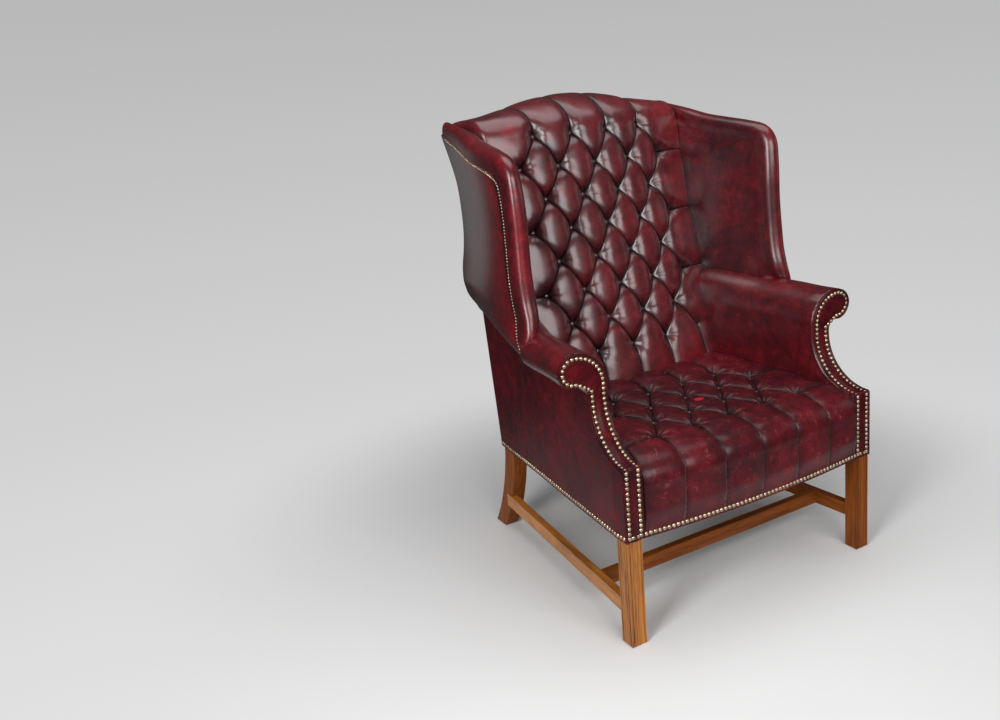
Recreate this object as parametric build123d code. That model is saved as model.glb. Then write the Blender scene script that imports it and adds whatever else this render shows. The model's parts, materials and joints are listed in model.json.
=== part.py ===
from build123d import *
import math
import os

# A wing armchair with a deep-buttoned back and a buttoned tight seat, in millimetres.
# +Z is up, the chair faces -Y, and the origin is the middle of the outer box at floor level.
# Depths are first measured back from the face of the front legs, then moved by mid_depth.

# Overall sizes
leg_spread = 720.0          # outer face to outer face of the front legs
leg_width = 38.0            # square section of the front legs
frame_depth = 653.0         # leg face to the back of the chair at rail height
side_inset = 56.0           # how much narrower each side is at the back
crest_height = 1136.0       # middle of the camel crest
crest_rise = 46.0           # of the crest above the shoulders, where it meets the wings
crest_half = 311.0          # from the middle of the crest to a shoulder
back_rake = 0.16            # outside back, depth gained for each unit of height
arm_height = 638.0          # top of the arm scroll
arm_setback = 126.0         # sweep of the facing, from its knee up to the scroll

# Polished frame
glide_radius = 9.0
glide_thick = 2.0
leather_bottom = 248.0      # lower edge of the upholstery
rail_bottom = 250.0
rail_height = 75.0
rail_thick = 24.0
rail_bow = 20.0             # the front rail swells forward in plan
stretcher_low = 72.0
stretcher_high = 105.0
stretcher_thick = 19.0
stretcher_inset = 2.0
cross_depth = 147.0         # face of the cross stretcher
reed_width = 3.2
reed_depth = 1.6
reed_margin = 3.4
flute_radius = 1.9
back_leg_width = 38.0
back_leg_depth = 50.0
back_leg_inset = 4.0
back_leg_sweep = 85.0       # how far the foot stands behind the rail
back_leg_knee = 37.0        # sweep of the leg at the middle of its height
back_leg_mid = 94.0
block_leg = 60.0

# Upholstery
leather = 2.5
seam_gap = 0.3              # clearance of every soft piece
facing_width = 48.0
facing_thick = 2.0
lobe_radius = 38.0
lobe_out = 32.0             # centre of the scroll beyond the side of the frame
scroll_drop = 98.0          # top of the scroll down to the notch where it turns in
neck_length = 4.0           # upright neck between the notch and the sweep
shoulder_drop = 83.0        # scroll top to the straight inner edge of the facing
inner_arm_rise = 15.0       # how far the inside arm reaches up under the scroll
arm_rail_thick = 22.0
arm_rail_out = 55.0
arm_pad = 44.0              # frame side to the outer side of the inside arm
seat_front_width = 623.4
seat_back_width = 508.0
seat_back_depth = 480.0     # depth at which seat_back_width is measured
stump_thick = 36.0

# Wings
wing_half = 18.0            # half the thickness over the leather
wing_gap = 0.6              # between the wing and the edge of the back
wing_board = 14.0
wing_front_x = 376.0
wing_front_depth = 340.0
wing_back_x = 318.0
wing_back_depth = 735.0
wing_foot_depth = 316.0
wing_corner_depth = 343.0
wing_front_drop = 64.0      # border line below the shoulder, at the front corner
wing_mid_drop = 55.0        # halfway back
wing_mid_depth = 560.0
wing_back_drop = 16.0       # and at the back
wing_corner_radius = 70.0
wing_sweep_radius = 400.0
wing_skirt_drop = 38.0      # lower edge of the outside wing below the arm's top
wing_rail_height = 40.0
wing_post_width = 70.0

# Frame of the back
post_width = 38.0
post_depth = 45.0
post_drop = 50.0            # top of the posts below the shoulders
post_foot_x = 289.0         # outer side of each post at its foot
post_head_x = 299.0         # and at its head
crest_pad = 24.0            # padding over the crest rail
crest_gap = 2.4             # the crest rail and the outside back stop this far below it
crest_rail_depth = 30.0
tacking_low = 420.0
tacking_height = 60.0
webbing_thick = 2.0
webbing_width = 50.0
webbing_lap = 20.0
canvas_thick = 1.5
stuffing_half = 228.0
stuffing_top = 960.0

# Buttoned back, measured at the plane of the buttons
back_plane = 478.7          # depth of that plane at back_plane_height on the centre line
back_plane_height = 500.0
back_slope = 0.29
back_fall = 38.4            # how far the plane falls back at the shoulders
back_pitch = 104.0          # between buttons in a row
back_row = 77.0             # between rows
back_row_drop = 95.0        # top row of buttons below the crest
back_rows = 8
back_bottom = 420.0
back_base = 60.0            # padding behind the buttons
pillow_rise = 26.0
pleat_rise = 9.0
channel_rise = 20.0
button_radius = 8.0
button_thick = 5.0
button_lift = 5.4           # the buttons ride on the flanks of their hollows
back_end_lift = 4.3         # the end rows of the back lie a little deeper
seat_end_lift = 3.4         # and those of the seat
edge_drop = 25.0

# Buttoned seat
seat_button_height = 408.0
seat_pitch = 104.0
seat_first_row = 90.0
seat_row = 82.0
seat_rows = 4
seat_pillow = 22.0
seat_pleat = 7.0
seat_channel = 18.0
seat_edge_drop = 10.0
seat_meet_depth = 428.0     # where the seat dips under the foot of the back
seat_tail_depth = 505.0
seat_front_swell = 10.0
seat_nose_height = 372.0
seat_top_front = 424.0
seat_skin = 6.0

# Nails
nail_radius = 4.7
nail_height = 3.0
nail_pitch = 11.4
nail_margin = 9.0
small_nail_radius = 1.7
small_nail_height = 1.1
small_nail_pitch = 9.0

mesh_lift = 0.15            # keeps flat nail backs clear of hollow faces
over = 60.0                 # overrun of every cutting solid

rail_top = rail_bottom + rail_height
shoulder_height = crest_height - crest_rise
wing_top_front = shoulder_height - wing_front_drop
wing_top_mid = shoulder_height - wing_mid_drop
wing_top_back = shoulder_height - wing_back_drop
wing_skirt = arm_height - wing_skirt_drop
post_top = shoulder_height - post_drop
back_top_row = crest_height - back_row_drop
notch_height = arm_height - scroll_drop
knee_height = notch_height - neck_length - arm_setback
back_round = back_fall / crest_half ** 2
half_spread = leg_spread / 2
leg_x = half_spread - leg_width
side_slope = side_inset / (frame_depth - leg_width)
arm_slope = side_slope * (arm_setback - leg_width) / arm_setback
in_slope = (seat_front_width - seat_back_width) / 2 / seat_back_depth
wing_slope = (wing_front_x - wing_back_x) / (wing_back_depth - wing_front_depth)
lobe_height = arm_height - lobe_radius
rail_face = seat_skin - facing_thick + seam_gap
half_back_pitch = back_pitch / 2
half_seat_pitch = seat_pitch / 2


def outside_back(z):
    """Depth of the outside back at height z."""
    return frame_depth + back_rake * (z - leather_bottom)


# The box runs from the swell of the seat front to the back of the crest.
box_front = -(facing_thick + rail_bow + seat_front_swell)
box_back = outside_back(crest_height - crest_pad)
mid_depth = (box_front + box_back) / 2


def put(x, depth, z):
    """A point of the chair from its depth behind the leg face."""
    return Vector(x, depth - mid_depth, z)


def save(name, shapes):
    """Write one node, from one solid or a list of them."""
    shapes = shapes if isinstance(shapes, list) else [shapes]
    solids = [solid for shape in shapes for solid in shape.solids()]
    node = solids[0] if len(solids) == 1 else Compound(children=solids)
    export_step(node, "parts/" + name + ".step")


def save_pair(name, shapes):
    """Write a node for the right side and its mirror image for the left."""
    shapes = shapes if isinstance(shapes, list) else [shapes]
    save(name + "_right", shapes)
    save(name + "_left", [shape.mirror(Plane.YZ) for shape in shapes])


def side_x(depth):
    """Outer face of the side frame at a depth: straight over the leg, then tapering in."""
    return half_spread - side_slope * max(0, depth - leg_width)


def inner_x(depth):
    """Inner face of the padded arm, beside the seat."""
    return seat_front_width / 2 - in_slope * depth


def wing_x(depth):
    """Middle plane of the wing."""
    return wing_front_x - wing_slope * (depth - wing_front_depth)


def bow(x):
    """Forward swell of the front rail, an arc between the legs."""
    radius = (leg_x ** 2 + rail_bow ** 2) / (2 * rail_bow)
    return math.sqrt(radius ** 2 - min(abs(x), leg_x) ** 2) - (radius - rail_bow)


def crest(x):
    """Height of the camel crest."""
    share = min(abs(x) / crest_half, 1)
    rise = (crest_height - shoulder_height) * (1 + math.cos(math.pi * share ** 1.15)) / 2
    return shoulder_height + rise


def face_of(edges):
    return Face(Wire(edges))


def whole(result):
    """The one solid that a cut or an intersection leaves."""
    solids = result.solids()
    return solids[0] if len(solids) == 1 else Compound(children=solids)


def lines(points):
    """Straight edges through points."""
    return [Edge.make_line(a, b) for a, b in zip(points, points[1:])]


def arc(a, b, c):
    return Edge.make_three_point_arc(a, b, c)


def plan_prism(points, low, high):
    """Upright prism over a plan outline of (x, depth) points."""
    corners = [put(x, depth, low) for x, depth in points]
    face = face_of(lines(corners + corners[:1]))
    return Solid.extrude(face, Vector(0, 0, high - low))


def side_prism(points, x_low, x_high):
    """Prism across the chair over a side outline of (depth, z) points."""
    corners = [put(x_low, depth, z) for depth, z in points]
    face = face_of(lines(corners + corners[:1]))
    return Solid.extrude(face, Vector(x_high - x_low, 0, 0))


def box(x_low, x_high, front, back, low, high):
    return side_prism([(front, low), (back, low), (back, high), (front, high)], x_low, x_high)


def raked(edges_of, forward, thick):
    """Slab in the plane of the back: edges_of takes a function from (x, height) to a point."""
    def at(x, z):
        return put(x, outside_back(z) - forward, z)
    return Solid.extrude(face_of(edges_of(at)), Vector(0, -thick, 0))


def raked_box(x_low, x_high, low, high, forward, thick):
    """Rectangular slab in the plane of the back."""
    def edges_of(at):
        corners = [at(x_low, low), at(x_high, low), at(x_high, high), at(x_low, high)]
        return lines(corners + corners[:1])
    return raked(edges_of, forward, thick)


# Front legs: square, with two quirked beads run down each outer face
def front_leg():
    leg = box(leg_x, half_spread, 0, leg_width, glide_thick, rail_top)
    cutters = []
    for edge in (reed_margin, leg_width - reed_margin - reed_width):
        cutters.append(box(leg_x + edge, leg_x + edge + reed_width, -over, reed_depth,
                           -over, leather_bottom))
        cutters.append(box(half_spread - reed_depth, half_spread + over, edge,
                           edge + reed_width, -over, leather_bottom))
    flute = Solid.make_cylinder(flute_radius, leather_bottom - glide_thick)
    for share in (1 / 3, 2 / 3):
        spot = leg_width * share
        for x, depth in ((leg_x + spot, 0), (half_spread, spot)):
            cutters.append(flute.moved(Location(put(x, depth, glide_thick))))
    return whole(leg.cut(*cutters))


def back_leg_points(depth_from):
    """Three points of one sabre edge of the back leg, from the rail down to the foot."""
    return [put(0, depth_from, leather_bottom), put(0, depth_from + back_leg_knee, back_leg_mid),
            put(0, depth_from + back_leg_sweep, glide_thick)]


def back_leg():
    rear = frame_depth - leather
    front = rear - back_leg_depth
    outer = side_x(rear) - back_leg_inset
    head = [put(0, front, rail_top), put(0, front, leather_bottom)]
    tail = [put(0, rear, leather_bottom), put(0, rear, rail_top)]
    front_points = back_leg_points(front)
    rear_points = back_leg_points(rear)
    edges = lines(head) + [arc(*front_points)] + lines([front_points[2], rear_points[2]])
    edges += [arc(*reversed(rear_points))] + lines(tail) + lines([tail[1], head[0]])
    profile = face_of(edges).moved(Location((outer - back_leg_width, 0, 0)))
    return Solid.extrude(profile, Vector(back_leg_width, 0, 0))


leg_rear = frame_depth - leather
leg_front = leg_rear - back_leg_depth
back_leg_outer = side_x(leg_rear) - back_leg_inset


def side_strip(front, back, outset, thick, low, high):
    """Board along the tapering side, outset from the outer face of the frame."""
    points = [(side_x(front) + outset, front), (side_x(back) + outset, back),
              (side_x(back) + outset - thick, back), (side_x(front) + outset - thick, front)]
    return plan_prism(points, low, high)


def leg_front_at(z):
    """Depth of the front of the back leg at a height, along its sabre edge."""
    share = (leather_bottom - z) / (leather_bottom - glide_thick)
    return leg_front + back_leg_sweep * share ** 1.55


save_pair("front_leg", front_leg())
save_pair("back_leg", back_leg())

side_stretcher = side_strip(leg_width, leg_front + over, -stretcher_inset, stretcher_thick,
                            stretcher_low, stretcher_high)
save_pair("side_stretcher", whole(side_stretcher.cut(back_leg())))
cross_back = cross_depth + stretcher_thick
cross_front_x = side_x(cross_depth) - stretcher_inset - stretcher_thick
cross_back_x = side_x(cross_back) - stretcher_inset - stretcher_thick
save("cross_stretcher", plan_prism([(-cross_front_x, cross_depth), (cross_front_x, cross_depth),
                                    (cross_back_x, cross_back), (-cross_back_x, cross_back)],
                                   stretcher_low, stretcher_high))

glide = Solid.make_cylinder(glide_radius, glide_thick)
glide_spots = []
for side in (-1, 1):
    glide_spots.append(put(side * (half_spread - leg_width / 2), leg_width / 2, 0))
    foot = leg_front + back_leg_sweep + back_leg_depth / 2
    glide_spots.append(put(side * (back_leg_outer - back_leg_width / 2), foot, 0))
save("foot_glides", [glide.moved(Location(spot)) for spot in glide_spots])


# Seat frame
def front_rail():
    left = put(-leg_x, rail_face, rail_bottom)
    right = put(leg_x, rail_face, rail_bottom)
    swell = put(0, rail_face - rail_bow, rail_bottom)
    back_left = put(-leg_x, rail_face + rail_thick, rail_bottom)
    back_right = put(leg_x, rail_face + rail_thick, rail_bottom)
    edges = [arc(left, swell, right)] + lines([right, back_right, back_left, left])
    return Solid.extrude(face_of(edges), Vector(0, 0, rail_height))


save("front_seat_rail", front_rail())
save_pair("side_seat_rail", side_strip(leg_width, leg_front, 0, rail_thick,
                                       rail_bottom, rail_top))
back_rail_half = back_leg_outer - back_leg_width
save("back_seat_rail", box(-back_rail_half, back_rail_half, leg_rear - rail_thick, leg_rear,
                           rail_bottom, rail_top))


def corner_block():
    """Triangular glue block in the corner behind the front leg."""
    rail_back = rail_face + rail_thick
    return plan_prism([(leg_x, rail_back), (leg_x, rail_back + block_leg),
                       (leg_x - block_leg, rail_back)], rail_bottom, rail_top - rail_thick)


def rear_block():
    """Triangular glue block in front of the back rail, beside the back leg."""
    rail_front = leg_rear - rail_thick
    return plan_prism([(back_rail_half, rail_front), (back_rail_half - block_leg, rail_front),
                       (back_rail_half, rail_front - block_leg)],
                      rail_bottom, rail_top - rail_thick)


blocks = [corner_block(), rear_block()]
save("corner_blocks", blocks + [block.mirror(Plane.YZ) for block in blocks])

seat_straps = []
for share in (-0.5, 0, 0.5):
    x = leg_x * share
    seat_straps.append(box(x - webbing_width / 2, x + webbing_width / 2, seat_skin,
                           leg_rear, rail_top, rail_top + webbing_thick))
save("seat_webbing_lengthwise", seat_straps)
strap_low = rail_top + webbing_thick
cross_straps = []
for share in (0.22, 0.5, 0.78):
    depth = leg_rear * share
    reach = side_x(depth + webbing_width / 2) - rail_thick - arm_pad / 2
    cross_straps.append(box(-reach, reach, depth - webbing_width / 2, depth + webbing_width / 2,
                            strap_low, strap_low + webbing_thick))
save("seat_webbing_crosswise", cross_straps)
deck_low = strap_low + webbing_thick
deck_top = deck_low + canvas_thick
deck_front = rail_face + rail_thick
save("seat_canvas", plan_prism([(-inner_x(deck_front) + over / 4, deck_front),
                                (inner_x(deck_front) - over / 4, deck_front),
                                (inner_x(seat_tail_depth) - over / 4, seat_tail_depth),
                                (-inner_x(seat_tail_depth) + over / 4, seat_tail_depth)],
                               deck_low, deck_top))
dust_inner = rail_thick / 2
save("dust_cover", plan_prism([(-leg_x + dust_inner, dust_inner), (leg_x - dust_inner, dust_inner),
                               (leg_x - dust_inner, leg_width + dust_inner),
                               (side_x(leg_front) - dust_inner, leg_front - dust_inner),
                               (-side_x(leg_front) + dust_inner, leg_front - dust_inner),
                               (-leg_x + dust_inner, leg_width + dust_inner)],
                              rail_bottom - canvas_thick, rail_bottom))


# Frame of the back
def post_front(z):
    """Depth of the front of the back posts."""
    return outside_back(z) - leather - post_depth


def back_post():
    """Upright post, raked back and leaning out a little."""
    sections = []
    for z, x in ((rail_top, post_foot_x), (post_top, post_head_x)):
        rear = outside_back(z) - leather
        corners = [put(x - post_width, rear - post_depth, z), put(x, rear - post_depth, z),
                   put(x, rear, z), put(x - post_width, rear, z)]
        sections.append(Wire(lines(corners + corners[:1])))
    return Solid.make_loft(sections, ruled=True)


save_pair("back_post", back_post())


def crest_curve(at, drop, half):
    """Edges along the crest from right to left, set down by drop."""
    steps = [half * share / 4 for share in range(4, -5, -1)]
    points = [at(x, crest(x) - drop) for x in steps]
    return [arc(*points[i:i + 3]) for i in range(0, len(points) - 1, 2)]


crest_rail_half = wing_x(box_back) - wing_board / 2
crest_drop = crest_pad + crest_gap


def crest_rail_edges(at):
    """Outline of the crest rail, from its straight foot on the posts to the camel top."""
    ends = [(side * crest_rail_half, crest(crest_rail_half) - crest_drop) for side in (-1, 1)]
    foot = [at(*ends[0]), at(-crest_rail_half, post_top), at(crest_rail_half, post_top),
            at(*ends[1])]
    return crest_curve(at, crest_drop, crest_rail_half) + lines(foot)


save("crest_rail", raked(crest_rail_edges, leather, crest_rail_depth))
tacking_half = post_foot_x - post_width
save("back_tacking_rail", raked_box(-tacking_half, tacking_half, tacking_low,
                                    tacking_low + tacking_height, leather, rail_thick))
back_straps = []
for share in (0.2, 0.34, 0.5, 0.7, 0.9):
    low = rail_top + (post_top - rail_top) * share - webbing_width
    reach = tacking_half + (post_head_x - post_foot_x) * share + webbing_lap
    back_straps.append(raked_box(-reach, reach, low, low + webbing_width,
                                 leather + post_depth, webbing_thick))
save("back_webbing", back_straps)


def outside_back_edges(at):
    """Outline of the outside back: narrow below the arms, wide behind the wings."""
    foot_x = side_x(frame_depth) + leather
    wing_edge = wing_x(wing_back_depth) + wing_half
    shoulder = crest(wing_edge) - crest_drop
    half = [(foot_x, leather_bottom), (foot_x, wing_skirt - over / 4),
            (wing_edge, wing_skirt + over / 4), (wing_edge, shoulder)]
    right = [at(x, z) for x, z in half]
    left = [at(-x, z) for x, z in reversed(half)]
    top = crest_curve(at, crest_drop, wing_edge)
    return lines(right) + top + lines(left) + lines([left[-1], right[0]])


save("outside_back", raked(outside_back_edges, 0, leather))


# Arms
def knee_profile(top, back_points, foot, front=0):
    """Side outline with the swept front: up to the knee, hollow arc, up to top, then back."""
    radius = arm_setback
    centre_z = knee_height + radius
    turn = radius * math.sqrt(0.5)
    start = put(0, front, foot)
    knee = put(0, front, knee_height)
    middle = put(0, front + turn, centre_z - turn)
    end = put(0, front + radius, centre_z)
    upper = put(0, front + radius, top)
    rest = [upper] + [put(0, depth, z) for depth, z in back_points] + [start]
    return lines([start, knee]) + [arc(knee, middle, end)] + lines([end] + rest)


def side_slab(edges, reach=over):
    """Extrude a side outline right across one side of the chair."""
    face = face_of(edges)
    return Solid.extrude(face, Vector(half_spread + lobe_out + lobe_radius + reach, 0, 0))


def scroll_edges(depth, side, inner, foot):
    """Front outline of the arm: outer side, notch, scroll and inner side, from foot up."""
    lobe_x = side + lobe_out

    def rim(angle):
        turn = math.radians(angle)
        return put(lobe_x + lobe_radius * math.cos(turn), depth,
                   lobe_height + lobe_radius * math.sin(turn))

    notch = put(side, depth, notch_height)
    under = put(side + (rim(-110).X - side) / 4, depth, (notch_height + rim(-110).Z) / 2
                + leather)
    low = rim(-110)
    top = rim(80)
    neck = put(inner, depth, arm_height - shoulder_drop)
    shoulder = put(inner + (top.X - inner) * 0.21, depth, arm_height - shoulder_drop * 0.31)
    edges = lines([put(side, depth, foot), notch]) + [arc(notch, under, low)]
    edges += [arc(low, rim(-60), rim(-15)), arc(rim(-15), rim(35), top)]
    edges += [arc(top, shoulder, neck)] + lines([neck, put(inner, depth, foot),
                                                 put(side, depth, foot)])
    return edges


def arm_stump():
    """Shaped board standing on the side rail, its front swept back to the scroll."""
    profile = knee_profile(lobe_height - arm_rail_thick,
                           [(arm_setback + stump_thick, lobe_height - arm_rail_thick),
                            (arm_setback + stump_thick, rail_top)], rail_top)
    slab = side_slab(profile)
    reach = arm_setback + stump_thick
    inner = half_spread - stump_thick
    board = plan_prism([(half_spread, 0), (half_spread, leg_width), (side_x(reach), reach),
                        (side_x(reach) - stump_thick, reach), (inner, leg_width), (inner, 0)],
                       rail_top, lobe_height)
    return whole(board.intersect(slab))


save_pair("arm_stump", arm_stump())

rail_reach = post_front(lobe_height) - seam_gap
arm_rail_plan = [(side_x(arm_setback) - stump_thick, arm_setback),
                 (side_x(arm_setback) + arm_rail_out, arm_setback),
                 (wing_x(wing_front_depth) + wing_board / 2, wing_front_depth),
                 (wing_x(rail_reach) + wing_board / 2, rail_reach),
                 (side_x(rail_reach) - stump_thick, rail_reach)]
arm_rail_low = lobe_height - arm_rail_thick
post_zone = side_prism([(post_front(arm_rail_low), arm_rail_low),
                        (post_front(lobe_height), lobe_height),
                        (rail_reach + over, lobe_height), (rail_reach + over, arm_rail_low)],
                       0, half_spread + over)
arm_rail = plan_prism(arm_rail_plan, arm_rail_low, lobe_height)
save_pair("arm_rail", whole(arm_rail.cut(post_zone)))


inner_arm_top = arm_height - shoulder_drop + inner_arm_rise
arm_end = webbing_thick + seam_gap


def inside_arm():
    """Padded inside of the arm, from the rail to the wing, swept back at the front."""
    profile = knee_profile(inner_arm_top,
                           [(wing_front_depth, inner_arm_top), (wing_front_depth, arm_height),
                            (post_front(arm_height) - arm_end, arm_height),
                            (post_front(deck_top) - arm_end, deck_top)], deck_top)
    slab = side_slab(profile)
    reach = post_front(arm_height)
    outer_front = half_spread - arm_pad
    plan = plan_prism([(inner_x(0), 0), (outer_front, 0), (outer_front, leg_width),
                       (side_x(reach) - arm_pad, reach), (inner_x(reach), reach)],
                      deck_top, arm_height)
    return whole(plan.intersect(slab))


save_pair("inside_arm", inside_arm())


def outside_arm():
    """Leather panel of the side, from its nailed lower edge to the underside of the scroll."""
    top = arm_rail_low - seam_gap
    profile = knee_profile(top, [(outside_back(top) - leather, top),
                                 (outside_back(leather_bottom) - leather, leather_bottom)],
                           leather_bottom)
    slab = side_slab(profile)
    reach = outside_back(top)
    plan = plan_prism([(half_spread, 0), (half_spread + leather, 0),
                       (half_spread + leather, leg_width), (side_x(reach) + leather, reach),
                       (side_x(reach), reach), (half_spread, leg_width)],
                      leather_bottom, top)
    return whole(plan.intersect(slab))


save_pair("outside_arm", outside_arm())


def arm_roll():
    """Padded scroll along the top of the arm, round the end of the arm rail."""
    depth = arm_setback
    side = side_x(depth) + leather
    inner = inner_x(depth)
    length = wing_front_depth - depth - seam_gap
    edges = scroll_edges(depth, side, inner, leather_bottom)
    block = Solid.extrude(face_of(edges), Vector(-side_slope * length, length, 0))
    clear_out = leather + seam_gap
    inner_front = side_x(depth) - stump_thick
    inner_back = side_x(wing_front_depth) - stump_thick
    under_stump = plan_prism([(inner_front, depth), (side_x(depth) + clear_out, depth),
                              (side_x(wing_front_depth) + clear_out, wing_front_depth),
                              (inner_back, wing_front_depth)], 0, arm_rail_low)
    under_inner = plan_prism([(0, depth), (inner_front, depth), (inner_back, wing_front_depth),
                              (0, wing_front_depth)], 0, inner_arm_top + seam_gap)
    rail_core = plan_prism(arm_rail_plan, arm_rail_low, lobe_height)
    return whole(block.cut(under_stump, under_inner, rail_core))


roll = arm_roll()
save_pair("arm_roll", roll)


def facing():
    """Thin leather panel over the front of the arm, following the knee and the scroll."""
    side = half_spread + leather
    inner = side - facing_width
    depth = -facing_thick
    length = arm_setback + over
    edges = scroll_edges(depth, side, inner, leather_bottom)
    outline = Solid.extrude(face_of(edges), Vector(-arm_slope * length, length, 0))
    outer_band = side_slab(knee_profile(arm_height + over,
                                        [(arm_setback + over * 2, arm_height + over),
                                         (arm_setback + over * 2, leather_bottom)],
                                        leather_bottom, depth))
    inner_band = side_slab(knee_profile(arm_height + over * 2,
                                        [(arm_setback + over * 3, arm_height + over * 2),
                                         (arm_setback + over * 3, leather_bottom - over)],
                                        leather_bottom - over))
    return whole(whole(outline.intersect(outer_band)).cut(inner_band))


save_pair("arm_facing", facing())


# Wings
def wing_path_points():
    return [(wing_foot_depth, wing_skirt), (wing_corner_depth, wing_top_front),
            (wing_mid_depth, wing_top_mid), (outside_back(wing_top_back), wing_top_back)]


def on_wing(depth, z, out=0):
    """Point of the wing's middle plane, moved outward by out."""
    return put(wing_x(depth) + out, depth, z)


wing_normal = Vector(1, wing_slope, 0).normalized()
wing_plane = Plane(origin=on_wing(wing_front_depth, 0), x_dir=(-wing_slope, 1, 0),
                   z_dir=wing_normal)


def wing_wire(low):
    """Centre line of the border: up the front, round the corner and along the top."""
    run = math.sqrt(1 + wing_slope ** 2)
    flat = [((depth - wing_front_depth) * run, z) for depth, z in wing_path_points()]
    start, corner = flat[0], flat[1]
    share = (low - start[1]) / (corner[1] - start[1])
    flat[0] = (start[0] + (corner[0] - start[0]) * share, low)
    path = FilletPolyline(*flat, radius=[wing_corner_radius, wing_sweep_radius])
    return flat, [edge for edge in path.edges()]


def wing_slab(low, out_low, out_high, rear_gap):
    """Slab of the wing between its border line, the back and a lower edge."""
    flat, edges = wing_wire(low)
    run = math.sqrt(1 + wing_slope ** 2)
    back_low = ((outside_back(low) - rear_gap - wing_front_depth) * run, low)
    back_top_depth = outside_back(wing_top_back)
    rear = [((back_top_depth - wing_front_depth) * run, wing_top_back), back_low,
            (flat[0][0], flat[0][1])]
    closing = lines([Vector(x, y, 0) for x, y in rear])
    face = face_of(edges + closing)
    local = face.moved(Location((0, 0, out_low)))
    body = Solid.extrude(local, Vector(0, 0, out_high - out_low))
    body = wing_plane.location * body
    rear_cut = side_prism([(outside_back(low - over) - rear_gap, low - over),
                           (outside_back(wing_top_back + over) - rear_gap,
                            wing_top_back + over),
                           (box_back + over * 2, wing_top_back + over),
                           (box_back + over * 2, low - over)], 0, half_spread + over)
    return whole(body.cut(rear_cut))


def arm_clear():
    """The arm roll, a little oversize, as a cutter for what rests on it."""
    depth = arm_setback
    side = side_x(depth) + leather
    edges = scroll_edges(depth, side, inner_x(depth), leather_bottom)
    length = wing_front_depth - depth
    grown = face_of(edges)
    block = Solid.extrude(grown, Vector(-side_slope * length, length, 0))
    return block.moved(Location((0, 0, seam_gap)))


clear = arm_clear()
half_board = wing_board / 2
board = wing_slab(lobe_height, -half_board, half_board, leather)
rail_zone = box(0, half_spread + over, wing_front_depth - over, box_back + over,
                wing_top_mid - wing_rail_height, wing_top_back + over)
front_trim = box(0, half_spread + over, wing_front_depth - over, wing_front_depth
                 + wing_post_width, 0, wing_top_mid - wing_rail_height)
below_border = box(0, half_spread + over * 2, 0, wing_front_depth + seam_gap, 0,
                   arm_height + seam_gap)
save_pair("wing_post", whole(whole(board.intersect(front_trim)).cut(below_border, clear)))
save_pair("wing_top_rail", whole(board.intersect(rail_zone)))


inside_wing = wing_slab(lobe_height, -wing_half, -half_board,
                        leather + post_depth + seam_gap)
arm_top_cut = plan_prism([(0, wing_front_depth - over * 3), (inner_x(0) + over, 0),
                          (side_x(wing_front_depth) - arm_pad + seam_gap, wing_front_depth),
                          (side_x(box_back) - arm_pad + seam_gap, box_back), (0, box_back)],
                         lobe_height - over, arm_height + seam_gap)
save_pair("inside_wing", whole(inside_wing.cut(arm_top_cut, clear)))
outside_wing = wing_slab(wing_skirt - arm_rail_thick, half_board, wing_half, leather)
save_pair("outside_wing", whole(outside_wing.cut(clear)))


def wing_roll():
    """Half-round border swept round the free edge of the wing."""
    flat, edges = wing_wire(lobe_height)
    path = Wire(edges)
    start = path.position_at(0)
    along = path.tangent_at(0)
    outward = Vector(-along.Y, along.X, 0)
    across = Vector(0, 0, 1)
    tip = start + outward * wing_half
    section = [Edge.make_line(start - across * wing_half, start + across * wing_half),
               arc(start + across * wing_half, tip, start - across * wing_half)]
    body = Solid.sweep(Wire(section), path)
    return wing_plane.location * body


rear_trim = side_prism([(outside_back(wing_top_mid - over), wing_top_mid - over),
                        (outside_back(wing_top_back + over), wing_top_back + over),
                        (box_back + over * 2, wing_top_back + over),
                        (box_back + over * 2, wing_top_mid - over)], 0, half_spread + over)
save_pair("wing_roll", whole(wing_roll().cut(clear, rear_trim)))


# Buttoned pads. A pad is lofted through sections that stand across the rows of buttons.
# In a section, short edges are the buttons and pleats and long arcs are the pillows
# between them; half a pitch further on the two change places.
def is_button(column, row, odd):
    return (column + row) % 2 == odd


def tuft_nodes(share, rows, button, odd, missing, rises):
    """Places and heights along one section at a column share, from the first row on."""
    rise_miss, rise_pleat, rise_channel = rises
    column = min(int(share), 3)
    part = share - column

    def at_column(c):
        nodes = []
        first = rows[0]
        step = button if rows[1] > rows[0] else -button
        channel = 0 if is_button(c, 0, odd) else rise_channel
        nodes.append((first - step, channel))
        for k, place in enumerate(rows[:-1]):
            owner = k if is_button(c, k, odd) else k + 1
            sign = 1 if owner == k else -1
            gone = (c, owner) in missing
            nodes.append((rows[owner] + sign * step, rise_miss if gone else 0))
        last = len(rows) - 1
        present = is_button(c, last, odd) and (c, last) not in missing
        nodes.append((rows[last] + step, 0 if present else rise_channel))
        return nodes

    low, high = at_column(column), at_column(column + 1)
    blended = []
    for i, (a, b) in enumerate(zip(low, high)):
        end = i in (0, len(low) - 1)
        swing = (1 - math.cos(math.pi * part)) / 2
        weight = swing if end else part
        lift = 0 if end else rise_pleat * math.sin(math.pi * part)
        blended.append((a[0] + (b[0] - a[0]) * part, a[1] + (b[1] - a[1]) * weight + lift))
    return blended


def crown_of(width, button, pitch, rise):
    """Crown of one arc: none at a button, full on the widest pillow."""
    share = (width - 2 * button) / (2 * pitch - 4 * button)
    return max(leather / 4, rise * min(max(share, 0), 1))


column_shares = [step / 4 for step in range(0, 17)]
border_shares = [1 / 3, 2 / 3, 1]


def stations():
    """Column share and border share of each section, from the middle outward."""
    return [(share, 0) for share in column_shares] + [(4, share) for share in border_shares]


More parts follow.
